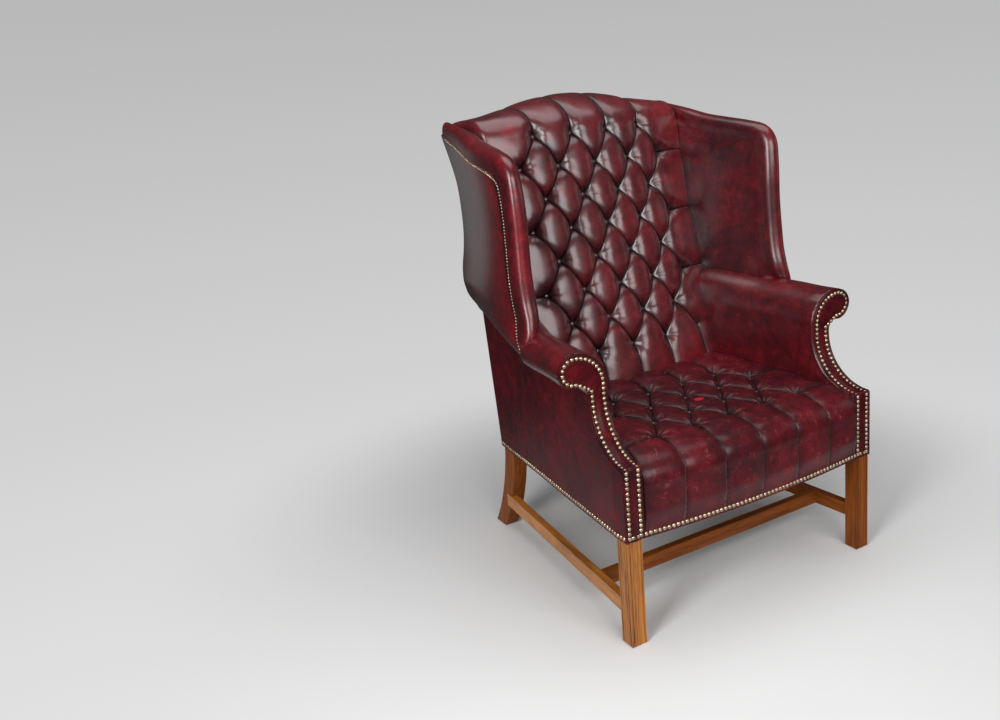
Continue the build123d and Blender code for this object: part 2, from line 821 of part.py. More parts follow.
def mirrored_loft(sections):
    """Loft through the sections of one half and their mirror images."""
    halves = [[edge.mirror(Plane.YZ) for edge in section] for section in reversed(sections[1:])]
    wires = [Wire(edges) for edges in halves + sections]
    return Solid.make_loft(wires, ruled=True)


back_row_heights = [back_top_row - back_row * k for k in range(back_rows)]
back_missing = {(4, 7)}
lip_clear = crest_rail_depth + leather + seam_gap


def back_depth(x, z):
    """Depth of the plane of the back buttons."""
    return back_plane + back_slope * (z - back_plane_height) + back_round * x ** 2


def back_section(share, border):
    """One upright section of the back pad, over the crest and down to its rail."""
    inner = half_back_pitch * share
    x = inner + (crest_half - inner) * border
    nodes = tuft_nodes(share, back_row_heights, button_radius, 1, back_missing,
                       (channel_rise, pleat_rise, channel_rise))
    drop = edge_drop * border ** 2
    top = crest(x)
    valley = nodes[0][1]
    dip = (channel_rise - valley) / 5

    def at(depth, z):
        edge = wing_x(depth) - wing_half - wing_gap
        return put(inner + (edge - inner) * border, depth, z)

    def front(z, rise):
        return (back_depth(x, z) - rise + drop, z)

    def between(a, b, forward, rise):
        middle = at((a[0] + b[0]) / 2 - forward, (a[1] + b[1]) / 2 + rise)
        return arc(at(*a), middle, at(*b))

    def bulged(a, b, crown):
        length = math.dist(a, b)
        return between(a, b, crown * abs(b[1] - a[1]) / length,
                       crown * abs(b[0] - a[0]) / length)

    points = [front(z, rise) for z, rise in nodes]
    rest = back_base - pillow_rise
    last = nodes[-1][1]
    foot = front(back_bottom, last * 0.7)
    rear_lip = outside_back(top - crest_pad)
    peak = (rear_lip - lip_clear - leather, top - dip)
    brow = ((back_depth(x, top) + rear_lip - lip_clear) / 2 - rest / 2 + drop / 2,
            top - crest_pad / 2 - dip)
    lip_top = (rear_lip - leather, top - crest_pad / 3 - dip / 2)
    lip_low = (rear_lip, top - crest_pad + seam_gap)
    notch = (rear_lip - lip_clear, top - crest_pad + seam_gap)
    ledge = post_top + seam_gap
    rail_front = (outside_back(ledge) - lip_clear, ledge)
    post_clear = post_front(ledge) - webbing_thick - seam_gap
    base_top = (min(back_depth(x, ledge) + rest + edge_drop, post_clear), ledge)
    base_low = (back_depth(x, back_bottom) + rest + edge_drop, back_bottom)
    edges = [bulged(a, b, crown_of(a[1] - b[1], button_radius, back_row, pillow_rise))
             for a, b in zip(points, points[1:])]
    edges.append(bulged(points[-1], foot, leather))
    ring = [foot, base_low, base_top, rail_front, notch, lip_low]
    edges += lines([at(*point) for point in ring])
    edges += [between(lip_low, lip_top, -leather / 4, leather / 4),
              between(lip_top, peak, -leather, leather),
              between(peak, brow, leather, leather), bulged(brow, points[0], leather * 2)]
    return edges


back_pad = mirrored_loft([back_section(*station) for station in stations()])
arm_zone = plan_prism([(inner_x(0) - seam_gap, 0), (inner_x(box_back) - seam_gap, box_back),
                       (half_spread + over, box_back), (half_spread + over, 0)],
                      back_bottom - over, arm_height + seam_gap)
back_pad = whole(back_pad.cut(arm_zone, arm_zone.mirror(Plane.YZ)))
save("back_cushion", back_pad)
print("back cushion valid", back_pad.is_valid)

base_gap = back_base - pillow_rise + edge_drop + seam_gap
stuffing_side = []
for z in (back_bottom, stuffing_top):
    stuffing_side.append((back_depth(stuffing_half, z) + base_gap, z))
for z in (stuffing_top, back_bottom):
    stuffing_side.append((post_front(z) - webbing_thick - seam_gap, z))
save("back_stuffing", side_prism(stuffing_side, -stuffing_half, stuffing_half))

seat_row_depths = [seat_first_row + seat_row * k for k in range(seat_rows)]


def seat_section(share, border):
    """One section of the seat pad, from its nailed front edge over the top to the back."""
    inner = half_seat_pitch * share
    nodes = tuft_nodes(share, seat_row_depths, button_radius, 0, set(),
                       (seat_channel, seat_pleat, seat_channel))
    drop = seat_edge_drop * border ** 2
    half_front = seat_front_width / 2 - seam_gap
    nominal = inner + (half_front - inner) * border
    front_depth = -facing_thick - bow(nominal)
    valley = nodes[0][1]
    dip = (seat_channel - valley) / 4

    def at(depth, z):
        edge = half_front - in_slope * depth
        return put(inner + (edge - inner) * border, depth, z)

    def bulged(a, b, forward, rise):
        middle = at((a[0] + b[0]) / 2 - forward, (a[1] + b[1]) / 2 + rise)
        return arc(at(*a), middle, at(*b))

    points = [(depth, seat_button_height + rise - drop) for depth, rise in nodes]
    swell = seat_front_swell * (1 - border ** 2)
    chest = (front_depth - swell / 3 + dip / 4, (leather_bottom + seat_nose_height) / 2)
    nose = (front_depth - swell + dip / 2, seat_nose_height)
    brow = (front_depth / 2 + seat_skin, seat_top_front - drop - dip)
    hem = (front_depth, leather_bottom)
    band = (front_depth, leather_bottom + nail_margin * 2)
    inside = front_depth + seat_skin
    tail = (seat_tail_depth, back_bottom - seam_gap)
    corner = seat_front_swell * math.sqrt(0.5)
    edges = lines([at(*hem), at(*band)])
    edges += [bulged(band, chest, leather / 4, 0), bulged(chest, nose, leather / 4, 0),
              bulged(nose, brow, corner, corner), bulged(brow, points[0], 0, leather)]
    for a, b in zip(points, points[1:]):
        crown = crown_of(b[0] - a[0], button_radius, seat_row, seat_pillow)
        edges.append(bulged(a, b, 0, crown))
    meet = (seat_meet_depth, back_bottom - seam_gap)
    edges.append(bulged(points[-1], meet, 0, leather))
    ring = [meet, tail, (seat_tail_depth, deck_top + seam_gap), (inside, deck_top + seam_gap),
            (inside, leather_bottom), hem]
    edges += lines([at(*point) for point in ring])
    return edges


seat_pad = mirrored_loft([seat_section(*station) for station in stations()])
save("seat_cushion", seat_pad)
print("seat cushion valid", seat_pad.is_valid)


# Buttons: low covered domes seated in the hollows of the pads
def dome(radius, height):
    """Solid cap of a sphere on a flat base, its axis along +Z."""
    ball = (radius ** 2 + height ** 2) / (2 * height)
    profile = [Edge.make_line(Vector(0, 0, 0), Vector(radius, 0, 0)),
               arc(Vector(radius, 0, 0),
                   Vector(math.sqrt(ball ** 2 - (ball - height / 2) ** 2), 0, height / 2),
                   Vector(0, 0, height)),
               Edge.make_line(Vector(0, 0, height), Vector(0, 0, 0))]
    return Solid.revolve(face_of(profile), 360, Axis.Z)


def seated(shape, point, normal):
    """Shape moved so that its base stands on a point and faces along a normal."""
    return shape.moved(Plane(origin=point, z_dir=normal).location)


button = dome(button_radius - leather, button_thick)
back_normal = Vector(0, -1, back_slope).normalized()
back_button_spots = []
for row, z in enumerate(back_row_heights):
    for column in range(-4, 5):
        if is_button(abs(column), row, 1) and (abs(column), row) not in back_missing:
            x = column * half_back_pitch
            last = row in (0, back_rows - 1)
            lift = back_normal * (back_end_lift if last else button_lift)
            back_button_spots.append(put(x, back_depth(x, z), z) + lift)
save("back_buttons", [seated(button, spot, back_normal) for spot in back_button_spots])
seat_button_spots = []
for row, depth in enumerate(seat_row_depths):
    for column in range(-4, 5):
        if is_button(abs(column), row, 0):
            last = row in (0, seat_rows - 1)
            rise = seat_end_lift if last else button_lift
            spot = put(column * half_seat_pitch, depth, seat_button_height + rise)
            seat_button_spots.append(spot)
save("seat_buttons", [seated(button, spot, Vector(0, 0, 1)) for spot in seat_button_spots])


# Nails
def spaced(points, pitch):
    """Evenly spaced places along a dense run of points, with the index before each."""
    lengths = [0]
    for a, b in zip(points, points[1:]):
        lengths.append(lengths[-1] + (b - a).length)
    count = max(1, round(lengths[-1] / pitch))
    places = []
    i = 0
    for n in range(count + 1):
        goal = lengths[-1] * n / count
        while i < len(lengths) - 2 and lengths[i + 1] < goal:
            i += 1
        part = (goal - lengths[i]) / max(lengths[i + 1] - lengths[i], 1e-9)
        places.append((points[i] + (points[i + 1] - points[i]) * part, i))
    return places


nail = dome(nail_radius, nail_height)
small_nail = dome(small_nail_radius, small_nail_height)
nail_row_height = leather_bottom + nail_margin


def facing_front(z):
    """Depth of the facing's front at a height."""
    rise = min(max(z - knee_height, 0), arm_setback)
    radius = arm_setback
    return radius - math.sqrt(radius ** 2 - rise ** 2) if z < knee_height else \
        math.sqrt(radius ** 2 - (radius - rise) ** 2)


def facing_point(inset, z):
    """Point on the facing's front, inset from its outer edge at that depth."""
    depth = facing_front(z)
    x = half_spread + leather - arm_slope * (depth) - inset
    return put(x, depth - facing_thick, z)


def facing_normal(z):
    """Direction in which the facing's front looks."""
    rise = min(max(z - knee_height, 0), arm_setback)
    if rise == 0 or rise == arm_setback:
        return Vector(0, -1, 0)
    depth = facing_front(z)
    return Vector(0, -depth, arm_setback - rise).normalized()


def edge_run(inset, top):
    """Dense points up one edge of the facing, evenly turned round the knee."""
    low = [nail_row_height + (knee_height - nail_row_height) * i / 40 for i in range(41)]
    sweep = [knee_height + arm_setback * (1 - math.cos(math.pi / 2 * i / 60))
             for i in range(1, 61)]
    high = [knee_height + arm_setback + (top - knee_height - arm_setback) * i / 10
            for i in range(1, 11)]
    return [facing_point(inset, z) for z in low + sweep + high]


def scroll_run():
    """Dense points of the nail row round the scroll, from the notch to the inner neck."""
    side = half_spread + leather - arm_slope * arm_setback
    inner = side - facing_width
    depth = arm_setback - facing_thick
    inset = lobe_radius - nail_margin
    lobe_x = side + lobe_out
    notch = put(side - nail_margin, depth, notch_height + nail_margin)
    turns = [math.radians(-100 + 175 * i / 60) for i in range(61)]
    lobe = [put(lobe_x + inset * math.cos(t), depth, lobe_height + inset * math.sin(t))
            for t in turns]
    neck = put(inner + nail_margin, depth, arm_height - shoulder_drop)
    top = lobe[-1]
    bend = put(inner + nail_margin + (top.X - inner - nail_margin) * 0.24, depth,
               arm_height - nail_margin - (shoulder_drop - nail_margin) * 0.3)
    shoulder = arc(top, bend, neck)
    fall = [shoulder.position_at(i / 30) for i in range(1, 31)]
    return [notch] + lobe + fall


def facing_nails():
    """One double row: up the outer edge, round the scroll and down the inner edge."""
    outer = edge_run(nail_margin, notch_height)
    inner = edge_run(facing_width - nail_margin, arm_height - shoulder_drop)
    whole = outer + scroll_run() + list(reversed(inner))
    nails = []
    for point, _ in spaced(whole, nail_pitch):
        normal = facing_normal(point.Z)
        nails.append(seated(nail, point + normal * mesh_lift, normal))
    return nails


save_pair("facing_nails", facing_nails())


def front_nails():
    """Row along the bow of the front, between the facings."""
    reach = half_spread + leather - facing_width + nail_margin - nail_pitch
    steps = [reach * (i / 60 - 1) for i in range(121)]
    run = [put(x, -facing_thick - bow(x), nail_row_height) for x in steps]
    nails = []
    for point, _ in spaced(run, nail_pitch):
        turn = Vector(point.X * rail_bow * 2 / leg_x ** 2, -1, 0).normalized()
        nails.append(seated(nail, point + turn * mesh_lift, turn))
    corner = put(half_spread + leather - facing_width / 2, -facing_thick, nail_row_height)
    spots = [corner - Vector(nail_pitch / 2, 0, 0), corner + Vector(nail_pitch / 2, 0, 0)]
    for spot in spots:
        for mirrored in (1, -1):
            place = Vector(spot.X * mirrored, spot.Y, spot.Z) + Vector(0, -mesh_lift, 0)
            nails.append(seated(nail, place, Vector(0, -1, 0)))
    return nails


save("front_rail_nails", front_nails())


def side_nails():
    """Row along the lower edge of one side."""
    start = nail_margin - facing_thick
    stop = outside_back(nail_row_height) - nail_margin
    steps = [start + (stop - start) * i / 60 for i in range(61)]
    run = [put(side_x(depth) + leather, depth, nail_row_height) for depth in steps]
    nails = []
    for point, i in spaced(run, nail_pitch):
        depth = point.Y + mid_depth
        slope = side_slope if depth > leg_width + nail_radius else 0
        normal = Vector(1, slope, 0).normalized()
        lift = mesh_lift * 3 if abs(depth - leg_width) < nail_radius * 2 else mesh_lift
        nails.append(seated(nail, point + normal * lift, normal))
    return nails


save_pair("side_rail_nails", side_nails())


def wing_nails():
    """Small nails close along the seam where the border meets the outside wing."""
    flat, edges = wing_wire(arm_height + nail_margin)
    path = Wire(edges)
    length = path.length
    count = round((length - nail_margin * 2) / small_nail_pitch)
    nails = []
    inset = small_nail_radius * 2
    for n in range(count + 1):
        share = (nail_margin + (length - nail_margin * 2) * n / count) / length
        spot = path.position_at(share)
        along = path.tangent_at(share)
        inward = Vector(along.Y, -along.X, 0)
        local = spot + inward * inset + Vector(0, 0, wing_half)
        point = wing_plane.from_local_coords(local)
        nails.append(seated(small_nail, point + wing_normal * mesh_lift, wing_normal))
    return nails


save_pair("wing_nails", wing_nails())
print("box centre depth", mid_depth, "back buttons", len(back_button_spots),
      "seat buttons", len(seat_button_spots))
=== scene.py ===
# %% [markdown]
# # A deep-buttoned wing armchair
# An oak frame carries horsehair pads under oxblood leather. The leather is tacked
# down at rows of buttons, and the slack between them is folded into pleats. The frame comes from
# the CAD model as it is, and this lesson makes the upholstery, the finishes and the light.

# %% Load the frame and keep its box
import json
import math
import bpy
import numpy as np
from mathutils import Matrix, Vector


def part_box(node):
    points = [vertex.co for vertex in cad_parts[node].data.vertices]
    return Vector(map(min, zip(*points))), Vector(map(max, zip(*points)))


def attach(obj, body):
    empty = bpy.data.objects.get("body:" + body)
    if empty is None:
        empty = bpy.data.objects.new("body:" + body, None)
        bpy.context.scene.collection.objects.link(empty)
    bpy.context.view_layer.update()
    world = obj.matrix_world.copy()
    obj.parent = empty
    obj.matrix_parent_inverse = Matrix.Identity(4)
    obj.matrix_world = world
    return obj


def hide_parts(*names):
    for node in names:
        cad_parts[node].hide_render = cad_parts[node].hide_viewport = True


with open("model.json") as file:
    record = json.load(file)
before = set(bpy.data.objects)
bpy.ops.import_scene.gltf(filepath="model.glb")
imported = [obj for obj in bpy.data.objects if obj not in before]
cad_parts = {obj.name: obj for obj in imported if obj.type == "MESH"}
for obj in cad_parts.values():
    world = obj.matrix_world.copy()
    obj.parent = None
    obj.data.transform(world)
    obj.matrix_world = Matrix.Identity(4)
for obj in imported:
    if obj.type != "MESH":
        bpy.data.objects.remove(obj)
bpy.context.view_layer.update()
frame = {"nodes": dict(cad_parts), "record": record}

# %% [markdown]
# ## One way to say where a point is
# An upholsterer measures across from the middle, back from the front legs and up from the floor.
# All shapes below are written in those millimetres, and one function turns them into metres.

# %% Places, smooth curves and arcs
middle_depth = 379.62  # how far the middle of the part lies behind the front legs
rail_z = 248.0  # lower edge of the leather
side_face = 362.5  # outer face of the side at the front leg
pad_half = 306.0  # half width of the back pad
scroll_depth, knee = 126.0, 410.0  # how far the arm front sweeps back, and where it starts to
both_sides = (("right", False), ("left", True))  # name, and whether it is mirrored

def place(points):
    """Metres in the part's frame, from rows of (across, back, up) in millimetres."""
    return (np.asarray(points, float) - [0.0, middle_depth, 0.0]) * 0.001

def curve(at, knots, values):
    """Smooth curve through a table: on each span a cubic whose end slopes are the mean slopes
    of the table there."""
    knots, values = np.asarray(knots, float), np.asarray(values, float)
    slopes = np.gradient(values, knots, axis=0)
    at = np.clip(np.asarray(at, float), knots[0], knots[-1])
    span = np.clip(np.searchsorted(knots, at, side="right") - 1, 0, len(knots) - 2)
    width = knots[span + 1] - knots[span]
    s = (at - knots[span]) / width
    if values.ndim > 1:
        s, width = s[..., None], width[..., None]
    return ((2 * s ** 3 - 3 * s ** 2 + 1) * values[span] + (3 * s ** 2 - 2 * s ** 3)
            * values[span + 1] + width * ((s ** 3 - 2 * s ** 2 + s) * slopes[span]
                                          + (s ** 3 - s ** 2) * slopes[span + 1]))

def arc(a, b, c, count):
    """Points along the circle through a, b and c: its centre is as far from all three."""
    a, b, c = (np.asarray(p, float) for p in (a, b, c))
    rows = 2 * np.array([b - a, c - a])
    centre = np.linalg.solve(rows, [b @ b - a @ a, c @ c - a @ a])
    first, mid, last = (math.atan2(*(p - centre)[::-1]) for p in (a, b, c))
    turn = (last - first) % (2 * math.pi)
    if (mid - first) % (2 * math.pi) > turn:
        turn -= 2 * math.pi
    angles = first + turn * np.linspace(0, 1, count)
    return centre + np.linalg.norm(a - centre) * np.stack([np.cos(angles), np.sin(angles)], -1)

def step(value, low, high):
    """0 below low, 1 above high, and the smooth cubic 3s^2 - 2s^3 between."""
    s = np.clip((value - low) / (high - low), 0, 1)
    return s * s * (3 - 2 * s)

# %% [markdown]
# ## From a grid to a closed skin
# A pad is a front surface and a hidden one behind it. Joined round at both edges they are a tube,
# and a strip of faces closes each end. One wide face would be quicker to write, but it would cut
# across a curved end. The sign of the volume tells whether the skin is inside out.

# %% Normals, closed skins and what each piece tells the frame
def outward(grid):
    """Unit normals of a grid: the cross product of its two directions."""
    across = np.cross(np.gradient(grid, axis=0), np.gradient(grid, axis=1))
    return across / np.maximum(np.linalg.norm(across, axis=-1, keepdims=True), 1e-9)

def lattice(first, second):
    """Two grids of numbers, from two runs of (first, last, count)."""
    return np.meshgrid(np.linspace(*first), np.linspace(*second), indexing="ij")

def unit(rows):
    """Each row over its own length, so that all have length one."""
    return rows / np.linalg.norm(rows, axis=-1, keepdims=True)

def tube(index):
    """Quads between the rings of a tube, from the numbers of its points."""
    beside = np.roll(index, -1, axis=1)
    return np.stack([index[:-1], beside[:-1], beside[1:], index[1:]], -1).reshape(-1, 4)

def make_mesh(name, points, faces, finish, values=None):
    """A smooth mesh object with its material and its named point values."""
    mesh = bpy.data.meshes.new(name)
    mesh.from_pydata(points.tolist(), [], faces)
    mesh.shade_smooth()
    mesh.set_sharp_from_angle(angle=math.radians(62))
    mesh.materials.append(finish)
    for key, numbers in (values or {}).items():
        layer = mesh.attributes.new(key, "FLOAT", "POINT")
        layer.data.foreach_set("value", np.asarray(numbers, np.float32).ravel())
    piece = bpy.data.objects.new(name, mesh)
    bpy.context.collection.objects.link(piece)
    return piece

def closed_skin(name, front, behind, finish, values=None, mirror=False):
    """Joins a front grid to the grid behind it. Columns go up the front and down behind, and a
    strip of faces closes the first and the last row."""
    ring = np.concatenate([front, behind[:, ::-1]], axis=1)
    rows, columns = ring.shape[:2]
    points = place(ring).reshape(-1, 3)
    if mirror:
        points = points * [-1, 1, 1]
    index = np.arange(rows * columns).reshape(rows, columns)
    quads = tube(index)
    a, b, c, d = (points[quads[:, k]] for k in range(4))
    volume = (np.cross(a, b) * c).sum() + (np.cross(a, c) * d).sum()
    up = np.arange((columns - 1) // 2)
    ends = np.stack([index[:, up], index[:, up + 1], index[:, -2 - up], index[:, -1 - up]], -1)
    caps = ends[0, :, ::-1].tolist() + ends[-1].tolist()
    # An odd column makes the last face of a strip a triangle, with one corner named twice.
    faces = quads.tolist() + [list(dict.fromkeys(cap)) for cap in caps]
    if volume < 0:
        faces = [face[::-1] for face in faces]
    hidden = np.zeros(behind.shape[:2])
    full = {key: np.concatenate([grid, hidden], axis=1) for key, grid in (values or {}).items()}
    piece = make_mesh(name, points, faces, finish, full)
    print(name, len(faces), "faces,", round(abs(volume) / 6 * 1e6), "cm3")
    return piece

def upholster(piece, nodes):
    """Fixes the piece to the chair, in place of its CAD solids."""
    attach(piece, "root")
    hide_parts(*nodes)

# %% [markdown]
# ## Oxblood leather
# The hide was dyed nearly black-red and rubbed back, so its colour is cloudy: bright red where
# it is worn. It could be painted, but noise at three scales gives the same clouds and needs no
# picture. Each pad carries a value of painted shade, which makes it brown-black in its creases
# and pits.

# %% Small helpers for nodes
def node_tree(name):
    """A new material, its tree, its surface shader, and the place on the object."""
    material = bpy.data.materials.new(name)
    material.use_nodes = True
    tree = material.node_tree
    where = add(tree, "ShaderNodeTexCoord").outputs["Object"]
    return material, tree, tree.nodes["Principled BSDF"], where

def feed(tree, node, inputs):
    """Links a socket to each named input of a node, or sets it to a plain value."""
    for key, value in inputs.items():
        if isinstance(value, bpy.types.NodeSocket):
            tree.links.new(value, node.inputs[key])
        else:
            node.inputs[key].default_value = value

def add(tree, kind, inputs=None, **settings):
    """One node, with its settings and with values or links for its inputs."""
    node = tree.nodes.new(kind)
    for key, value in settings.items():
        setattr(node, key, value)
    feed(tree, node, inputs or {})
    return node

def noise(tree, where, scale, detail=2.0, **more):
    """Cloudy noise between 0 and 1."""
    inputs = {"Vector": where, "Scale": scale, "Detail": detail, **more}
    return add(tree, "ShaderNodeTexNoise", inputs).outputs["Fac"]

def maths(tree, operation, *values):
    """One operation on numbers or sockets."""
    return add(tree, "ShaderNodeMath", dict(enumerate(values)), operation=operation).outputs[0]

def remap(tree, value, low, high, to_low=0.0, to_high=1.0):
    """Straight line from low..high to to_low..to_high, held level beyond both ends."""
    inputs = {"Value": value, "From Min": low, "From Max": high, "To Min": to_low,
              "To Max": to_high}
    return add(tree, "ShaderNodeMapRange", inputs).outputs[0]

def carried(tree, name):
    """The value that the mesh carries under that name."""
    return add(tree, "ShaderNodeAttribute", attribute_name=name).outputs["Fac"]

def relief(tree, strength, distance, height):
    """Normal of a fine relief."""
    inputs = {"Strength": strength, "Distance": distance, "Height": height}
    return add(tree, "ShaderNodeBump", inputs).outputs["Normal"]

def ramp(tree, value, stops):
    """A colour ramp through (position, colour) stops."""
    node = add(tree, "ShaderNodeValToRGB", {"Fac": value})
    elements = node.color_ramp.elements
    while len(elements) < len(stops):
        elements.new(0.5)
    for element, (position, colour) in zip(elements, stops):
        element.position = position
        element.color = (*colour, 1)
    return node.outputs["Color"]

def sum_up(tree, *terms):
    """Value of the sum of share times socket."""
    total = 0.0
    for share, socket in terms:
        total = maths(tree, "MULTIPLY_ADD", socket, share, total)
    return total

def mixed(tree, share, a, b):
    """Blend of two colours."""
    return add(tree, "ShaderNodeMix", {0: share, 6: a, 7: b}, data_type="RGBA").outputs[2]

# %% The leather itself
def leather(name, cloud, red, grain=0.12, rough=(0.36, 0.50), coat=1.0, lines=0.15,
            shine=0.3):
    """Cloudy oxblood leather. cloud shifts it between dark and red, red scales its bright end,
    lines is how strong the fine pale cracks are."""
    material, tree, shader, where = node_tree(name)
    broad = noise(tree, where, 6.0, 3.0, Roughness=0.6)
    patch = noise(tree, where, 34.0, 5.0, Roughness=0.62, Distortion=0.6)
    fine = noise(tree, where, 170.0, 3.0, Roughness=0.6)
    # Rubbed places are lighter, and painted shade darkens the creases and pits that a pad marks.
    tone = sum_up(tree, (0.65, broad), (0.75, patch), (0.34, fine),
                  (0.30, carried(tree, "worn")), (-0.40, carried(tree, "painted_shade")))
    tone = maths(tree, "ADD", tone, cloud - 0.37)
    colour = ramp(tree, tone, [(0.0, (0.010, 0.004, 0.005)), (0.30, (0.026, 0.004, 0.006)),
                               (0.52, (0.066 * red, 0.004, 0.007)),
                               (0.74, (0.135 * red, 0.005, 0.010)),
                               (1.0, (0.260 * red, 0.012, 0.018))])
    # Cracks run where a noise passes its middle, and only in some of the patches.
    vein = noise(tree, where, 21.0, 3.0, Distortion=2.2)
    vein = maths(tree, "ABSOLUTE", maths(tree, "SUBTRACT", vein, 0.5))
    vein = maths(tree, "MULTIPLY", remap(tree, vein, 0.0, 0.012, 1.0, 0.0),
                 remap(tree, patch, 0.5, 0.66, 0.0, lines))
    # A painted highlight lies pale along fold lips in broken lines; seat ridges are also worn pale.
    fold_highlight_and_wear = maths(tree, "MULTIPLY", carried(tree, "fold_highlight_and_wear"), remap(tree, fine, 0.35, 0.6, 0.0, 0.6))
    colour = mixed(tree, maths(tree, "MAXIMUM", vein, fold_highlight_and_wear), colour, (0.36, 0.15, 0.14, 1))
    colour = mixed(tree, carried(tree, "scuff"), colour, (0.55, 0.014, 0.022, 1))
    shader.inputs["Base Color"].default_value = (0.1, 0.007, 0.01, 1)
    pores = add(tree, "ShaderNodeTexVoronoi", {"Vector": where, "Scale": 420.0},
                feature="DISTANCE_TO_EDGE").outputs["Distance"]
    creases = noise(tree, where, 55.0, 4.0, Distortion=1.6)
    height = sum_up(tree, (0.5, pores), (0.9, creases))
    feed(tree, shader, {"Base Color": colour, "Roughness": remap(tree, patch, 0.3, 0.7, *rough),
                        "Normal": relief(tree, grain, 0.002, height), "Coat Weight": coat,
                        "Coat Roughness": 0.27, "Coat IOR": 1.6, "Specular IOR Level": shine})
    return material

back_leather = leather("back_leather", -0.06, 1.0, shine=0.2)
seat_leather = leather("seat_leather", -0.15, 0.85, grain=0.22, rough=(0.42, 0.58), coat=0.3,
                       lines=0.5, shine=0.12)
arm_leather = leather("arm_leather", -0.03, 1.12, shine=0.1)
panel_leather = leather("panel_leather", 0.0, 1.05, coat=0.1, shine=0.1)
print("leathers made")

# %% [markdown]
# ## Oak, brass and the hidden parts
# The legs are polished oak with open grain, so the noise is stretched along the wood. Five of the
# seven pieces get a darker oak that is partly a darker stain and partly painted shade, as they
# stand further from the main light. A picture of wood would repeat from leg to leg, and noise
# does not. The nails are lacquered brass gone brown. Frame, webbing and cloth are seldom seen,
# but each gets its own finish as well.

# %% Wood, metal and cloth
def wood(name, along, light, dark, rough=0.42, coat=0.3):
    """Grain: noise squeezed across the fibres and long beside them."""
    material, tree, shader, where = node_tree(name)
    scale = [1.0, 1.0, 1.0]
    scale["xyz".index(along)] = 0.07
    where = add(tree, "ShaderNodeMapping", {"Vector": where, "Scale": scale}).outputs[0]
    rings = noise(tree, where, 70.0, 5.0, Distortion=0.7)
    pores = noise(tree, where, 420.0)
    patch = noise(tree, where, 9.0)
    tone = maths(tree, "ADD", sum_up(tree, (0.8, rings), (0.35, pores), (0.5, patch)), -0.32)
    middle = tuple((a + b) / 2 for a, b in zip(light, dark))
    colour = ramp(tree, tone, [(0.25, dark), (0.5, middle), (0.8, light)])
    feed(tree, shader, {"Base Color": colour, "Roughness": rough, "Coat Weight": coat,
                        "Coat Roughness": 0.15, "Specular IOR Level": coat,
                        "Normal": relief(tree, 0.15, 0.001, pores)})
    return material

def metal(name, bright, dull, rough):
    """Old metal: clouds of tarnish over the bright colour."""
    material, tree, shader, where = node_tree(name)
    colour = ramp(tree, noise(tree, where, 90.0, 3.0), [(0.35, dull), (0.65, bright)])
    feed(tree, shader, {"Base Color": colour, "Metallic": 0.85, "Roughness": rough})
    return material

def woven(name, light, dark, pitch):
    """Plain weave: one wave across times one wave along."""
    material, tree, shader, where = node_tree(name)
    warp, weft = (add(tree, "ShaderNodeTexWave", {"Vector": where, "Scale": 1 / pitch},
                      bands_direction=way).outputs["Fac"] for way in "XY")
    weave = maths(tree, "MULTIPLY", warp, weft)
    feed(tree, shader, {"Base Color": ramp(tree, weave, [(0.1, dark), (0.8, light)]),
                        "Roughness": 0.9, "Normal": relief(tree, 0.3, 0.001, weave)})
    return material

def planks(name, *look):
    """One wood for each direction that a piece may run in."""
    return {axis: wood(name + "_" + axis, axis, *look) for axis in "xyz"}

oak = planks("oak", (0.62, 0.235, 0.036), (0.12, 0.032, 0.006))
# Darker oak: part stain, part painted shade for the pieces further from the light.
stained_and_shaded_oak = planks("oak_stained_and_shaded", (0.32, 0.088, 0.012), (0.08, 0.018, 0.003), 0.5, 0.1)
beech = planks("beech", (0.55, 0.36, 0.20), (0.38, 0.22, 0.11), 0.6, 0.0)
brass = metal("brass", (0.66, 0.55, 0.40), (0.32, 0.24, 0.15), 0.33)
steel = metal("steel", (0.55, 0.55, 0.54), (0.30, 0.30, 0.30), 0.3)
canvas = woven("canvas", (0.42, 0.34, 0.22), (0.24, 0.18, 0.11), 0.004)
jute = woven("jute", (0.40, 0.27, 0.13), (0.20, 0.12, 0.06), 0.006)
black_cloth = woven("black_cloth", (0.030, 0.028, 0.028), (0.010, 0.010, 0.010), 0.003)

# %% Give every CAD node its finish
slots = {"polished_oak": oak, "frame_beech": beech, "brass_nail": brass, "steel_glide": steel,
         "jute_webbing": jute, "canvas": canvas, "stuffing": canvas, "leather": panel_leather}
slot_of = {part["node"]: part["material_slot"] for part in frame["record"]["subparts"]}
darker_and_shaded_pieces = ("front_leg_right", "back_leg_left", "back_leg_right", "side_stretcher_right",
               "cross_stretcher")
for name, node in frame["nodes"].items():
    low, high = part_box(name)
    longest = "xyz"[int(np.argmax(np.array(high) - np.array(low)))]
    finish = slots.get(slot_of.get(name), panel_leather)
    # These pieces take the darker oak, part stain and part painted shade.
    if name in darker_and_shaded_pieces:
        finish = stained_and_shaded_oak
    node.data.materials.clear()
    node.data.materials.append(finish[longest] if isinstance(finish, dict) else finish)
print("finishes given to", len(frame["nodes"]), "nodes")

# %% [markdown]
# ## Deep buttoning
# Every button pulls the leather to the frame, and pleats run from button to button. Between them
# the stuffing pushes the leather up into pillows. A cloth simulation could find this shape, but
# its folds move at every change, so it is worked out: the height at a point depends on how far it
# is from the pleats and from the nearest button. Beside a pleat the leather also leans over it.

# %% The height of buttoned leather
def rows_of_pleats(rows, reach=60):
    """Pleats as (x, t, x, t), from each button to its neighbours in the next row."""
    return [(xa, ta, xb, tb) for (ta, upper), (tb, lower) in zip(rows, rows[1:])
            for xa in upper for xb in lower if abs(xa - xb) < reach]

def outline(line):
    """Pleats from each point (t, x) of an edge line to the next."""
    return [(xa, ta, xb, tb) for (ta, xa), (tb, xb) in zip(line, line[1:])]

def left_and_right(pleats):
    """The same pleats on both sides of the middle."""
    return [(side * xa, ta, side * xb, tb) for side in (-1, 1) for xa, ta, xb, tb in pleats]

